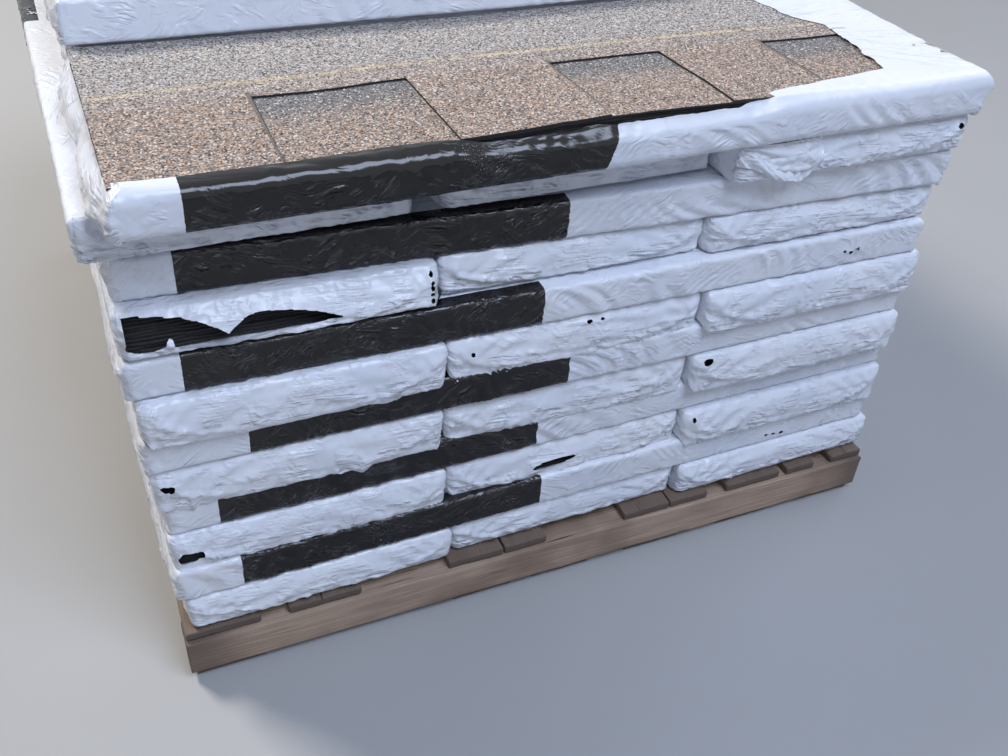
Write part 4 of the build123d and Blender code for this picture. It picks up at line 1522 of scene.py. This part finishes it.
def board_mesh(node, seed, step):
    """A worn, rough-sawn board inside the CAD box of its node."""
    low, high = [np.array(corner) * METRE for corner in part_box(node)]
    centre, half = (low + high) / 2, (high - low) / 2 - BOARD_INSET
    spots, faces = box_mesh(half, step)
    length_axis = int(np.argmax(half))
    order = [length_axis] + [axis for axis in range(3) if axis != length_axis]
    world = spots + centre
    chip = EDGE_WEAR * (1 + 0.9 * crease(world[:, 0] / 60, world[:, 1] / 60, world[:, 2] / 40, seed=seed))
    core = half[None, :] - chip[:, None]
    beyond = np.maximum(np.abs(spots) - core, 0)
    reach = np.maximum(np.linalg.norm(beyond, axis=1), 1e-6)
    rounded = beyond / reach[:, None] * np.minimum(reach, chip)[:, None]
    pulled = np.sign(spots) * (np.minimum(np.abs(spots), core) + rounded)
    rough = [ROUGHNESS * noise(*(world / scale).T, seed=seed + k) for k, scale in enumerate((24, 25, 26))]
    past_end = np.abs(spots[:, length_axis]) - half[length_axis]
    at_end = smooth_step((past_end + 3) / 3)
    grooves = 0.9 * noise(world[:, order[1]] / 5, world[:, order[2]] / 9, seed=seed + 9) * at_end
    pulled = pulled + np.stack(rough, axis=1)
    pulled[:, length_axis] -= np.sign(spots[:, length_axis]) * (np.abs(grooves) + 0.6 * at_end)
    pulled = np.clip(pulled, -half - 0.4, half + 0.4)
    own_place = np.array([seed * 1.7, seed * 0.31, 0.0])
    board_at = np.stack([spots[:, i] for i in order], axis=1) / METRE + own_place
    share = 0.5 + 0.5 * float(noise(seed * 1.3, 0.4, seed=2))
    near_end = smooth_step((past_end + SOAK_REACH) / 80)
    tone = np.stack([share + 0 * at_end, at_end, near_end], axis=1)
    return pulled + centre, faces, {"board_at": board_at, "board_tone": tone}


# %% [markdown]
# Every stringer, deck board and bottom board is made the same way, each with noise of its own.

# %% Pallet boards
board_nodes = [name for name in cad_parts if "stringer" in name or "board" in name]
board_faces = 0
for number, node in enumerate(sorted(board_nodes)):
    points, faces, values = board_mesh(node, number + 3, BOARD_STEP)
    piece = add_piece(node + "_timber", points, faces, [WOOD], values)
    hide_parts(node)
    board_faces += len(faces)
print("boards:", len(board_nodes), "faces:", board_faces)


# %% [markdown]
# A stand-in for the studio: a pale, matt plaster floor. It is a wide disc with a faint cloud in its
# colour, so that its rim has no corner in any view.

# %% Floor
def floor_material():
    material, tree, shader = new_material("pale_plaster_floor")
    at = add(tree, "TexCoord", {}, None, "Object")
    cloud = add(tree, "TexNoise", {"Vector": at, "Scale": 2.0, "Detail": 4.0})
    colour = add(tree, "Mix", {0: cloud, 6: "#A9A9A8", 7: "#B3B2B1"}, BLEND, 2)
    tree.links.new(colour, shader.inputs["Base Color"])
    shader.inputs["Roughness"].default_value = 0.9
    return material


FLOOR_REACH = 5.2
FLOOR_CORNERS = 96
floor_mesh = bpy.data.meshes.new("studio_floor")
turns = [2 * math.pi * i / FLOOR_CORNERS for i in range(FLOOR_CORNERS)]
corners = [(FLOOR_REACH * math.cos(turn), FLOOR_REACH * math.sin(turn), 0) for turn in turns]
floor_mesh.from_pydata(corners, [], [tuple(range(FLOOR_CORNERS))])
floor_mesh.materials.append(floor_material())
floor = bpy.data.objects.new("studio_floor", floor_mesh)
bpy.context.scene.collection.objects.link(floor)


# %% [markdown]
# One soft warm lamp stands high at the back left, where the sun stood. Three wide cool ones stand for
# the open sky: one high in front, a low one that lifts the front film, and one for the right side. The
# air adds a weak fill, and reflections see a pale sky.

# %% Lamps
def add_lamp(name, place, aim, size, watts, colour):
    lamp = bpy.data.lights.new(name, "AREA")
    lamp.shape = "SQUARE"
    lamp.size = size
    lamp.energy = watts
    lamp.color = linear(colour)[:3]
    holder = bpy.data.objects.new(name, lamp)
    holder.location = place
    holder.rotation_euler = (Vector(aim) - Vector(place)).to_track_quat("-Z", "Y").to_euler()
    bpy.context.scene.collection.objects.link(holder)


MIDDLE = (0.0, 0.0, 0.4)
FILL_STRENGTH = 0.10
add_lamp("sun_side_lamp", (-2.2, 2.4, 4.0), MIDDLE, 1.2, 222, "#FFF9F1")
add_lamp("sky_side_lamp", (0.7, -2.4, 4.0), MIDDLE, 2.2, 140, "#D6E4FF")
add_lamp("low_sky_lamp", (-1.4, -3.4, 1.3), MIDDLE, 2.0, 13, "#D6E4FF")
add_lamp("right_sky_lamp", (3.8, 0.8, 2.2), MIDDLE, 2.2, 38, "#E2EBFF")
world = bpy.data.worlds.new("studio_air")
bpy.context.scene.world = world
world.use_nodes = True
tree = world.node_tree
fill = tree.nodes["Background"]
fill.inputs["Color"].default_value = linear("#DDE7F8")
fill.inputs["Strength"].default_value = FILL_STRENGTH
seen = add(tree, "Background", {"Color": "#E4E8EF", "Strength": 1.0})
camera_ray = add(tree, "LightPath", {}, None, "Is Camera Ray")
glossy_ray = add(tree, "LightPath", {}, None, "Is Glossy Ray")
clear_ray = add(tree, "LightPath", {}, None, "Is Transmission Ray")
direct = add(tree, "Math", {0: camera_ray, 1: glossy_ray}, {"operation": "MAXIMUM"})
direct = add(tree, "Math", {0: direct, 1: clear_ray}, {"operation": "MAXIMUM"})
switch = add(tree, "MixShader", {0: direct, 1: fill.outputs[0], 2: seen})
tree.links.new(switch, tree.nodes["World Output"].inputs["Surface"])

# %% [markdown]
# The camera stands where the photograph was taken from, which straight edges of the load gave: a little
# to the left, at chest height, looking down.

# %% Camera
CAMERA_PLACE = Vector((-0.529, -1.379, 1.116))
CAMERA_FORWARD = Vector((0.3467, 0.7061, -0.6174))
CAMERA_RIGHT = Vector((0.9168, -0.3942, 0.0641))
CAMERA_LENS = 37.4
camera_data = bpy.data.cameras.new("camera")
camera_data.lens = CAMERA_LENS
camera_data.sensor_width = 36.0
camera = bpy.data.objects.new("camera", camera_data)
forward = CAMERA_FORWARD.normalized()
right = (CAMERA_RIGHT - forward * CAMERA_RIGHT.dot(forward)).normalized()
turned = Matrix((right, right.cross(forward), -forward)).transposed().to_4x4()
camera.matrix_world = Matrix.Translation(CAMERA_PLACE) @ turned
bpy.context.scene.collection.objects.link(camera)
bpy.context.scene.camera = camera
bpy.context.scene.view_settings.view_transform = "Standard"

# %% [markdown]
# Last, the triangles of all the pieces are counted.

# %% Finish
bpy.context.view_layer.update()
meshes = [thing.data for thing in bpy.data.objects if thing.type == "MESH"]
triangles = [sum(len(face.vertices) - 2 for face in mesh.polygons) for mesh in meshes]
print("triangles:", sum(triangles), "most in a piece:", max(triangles))
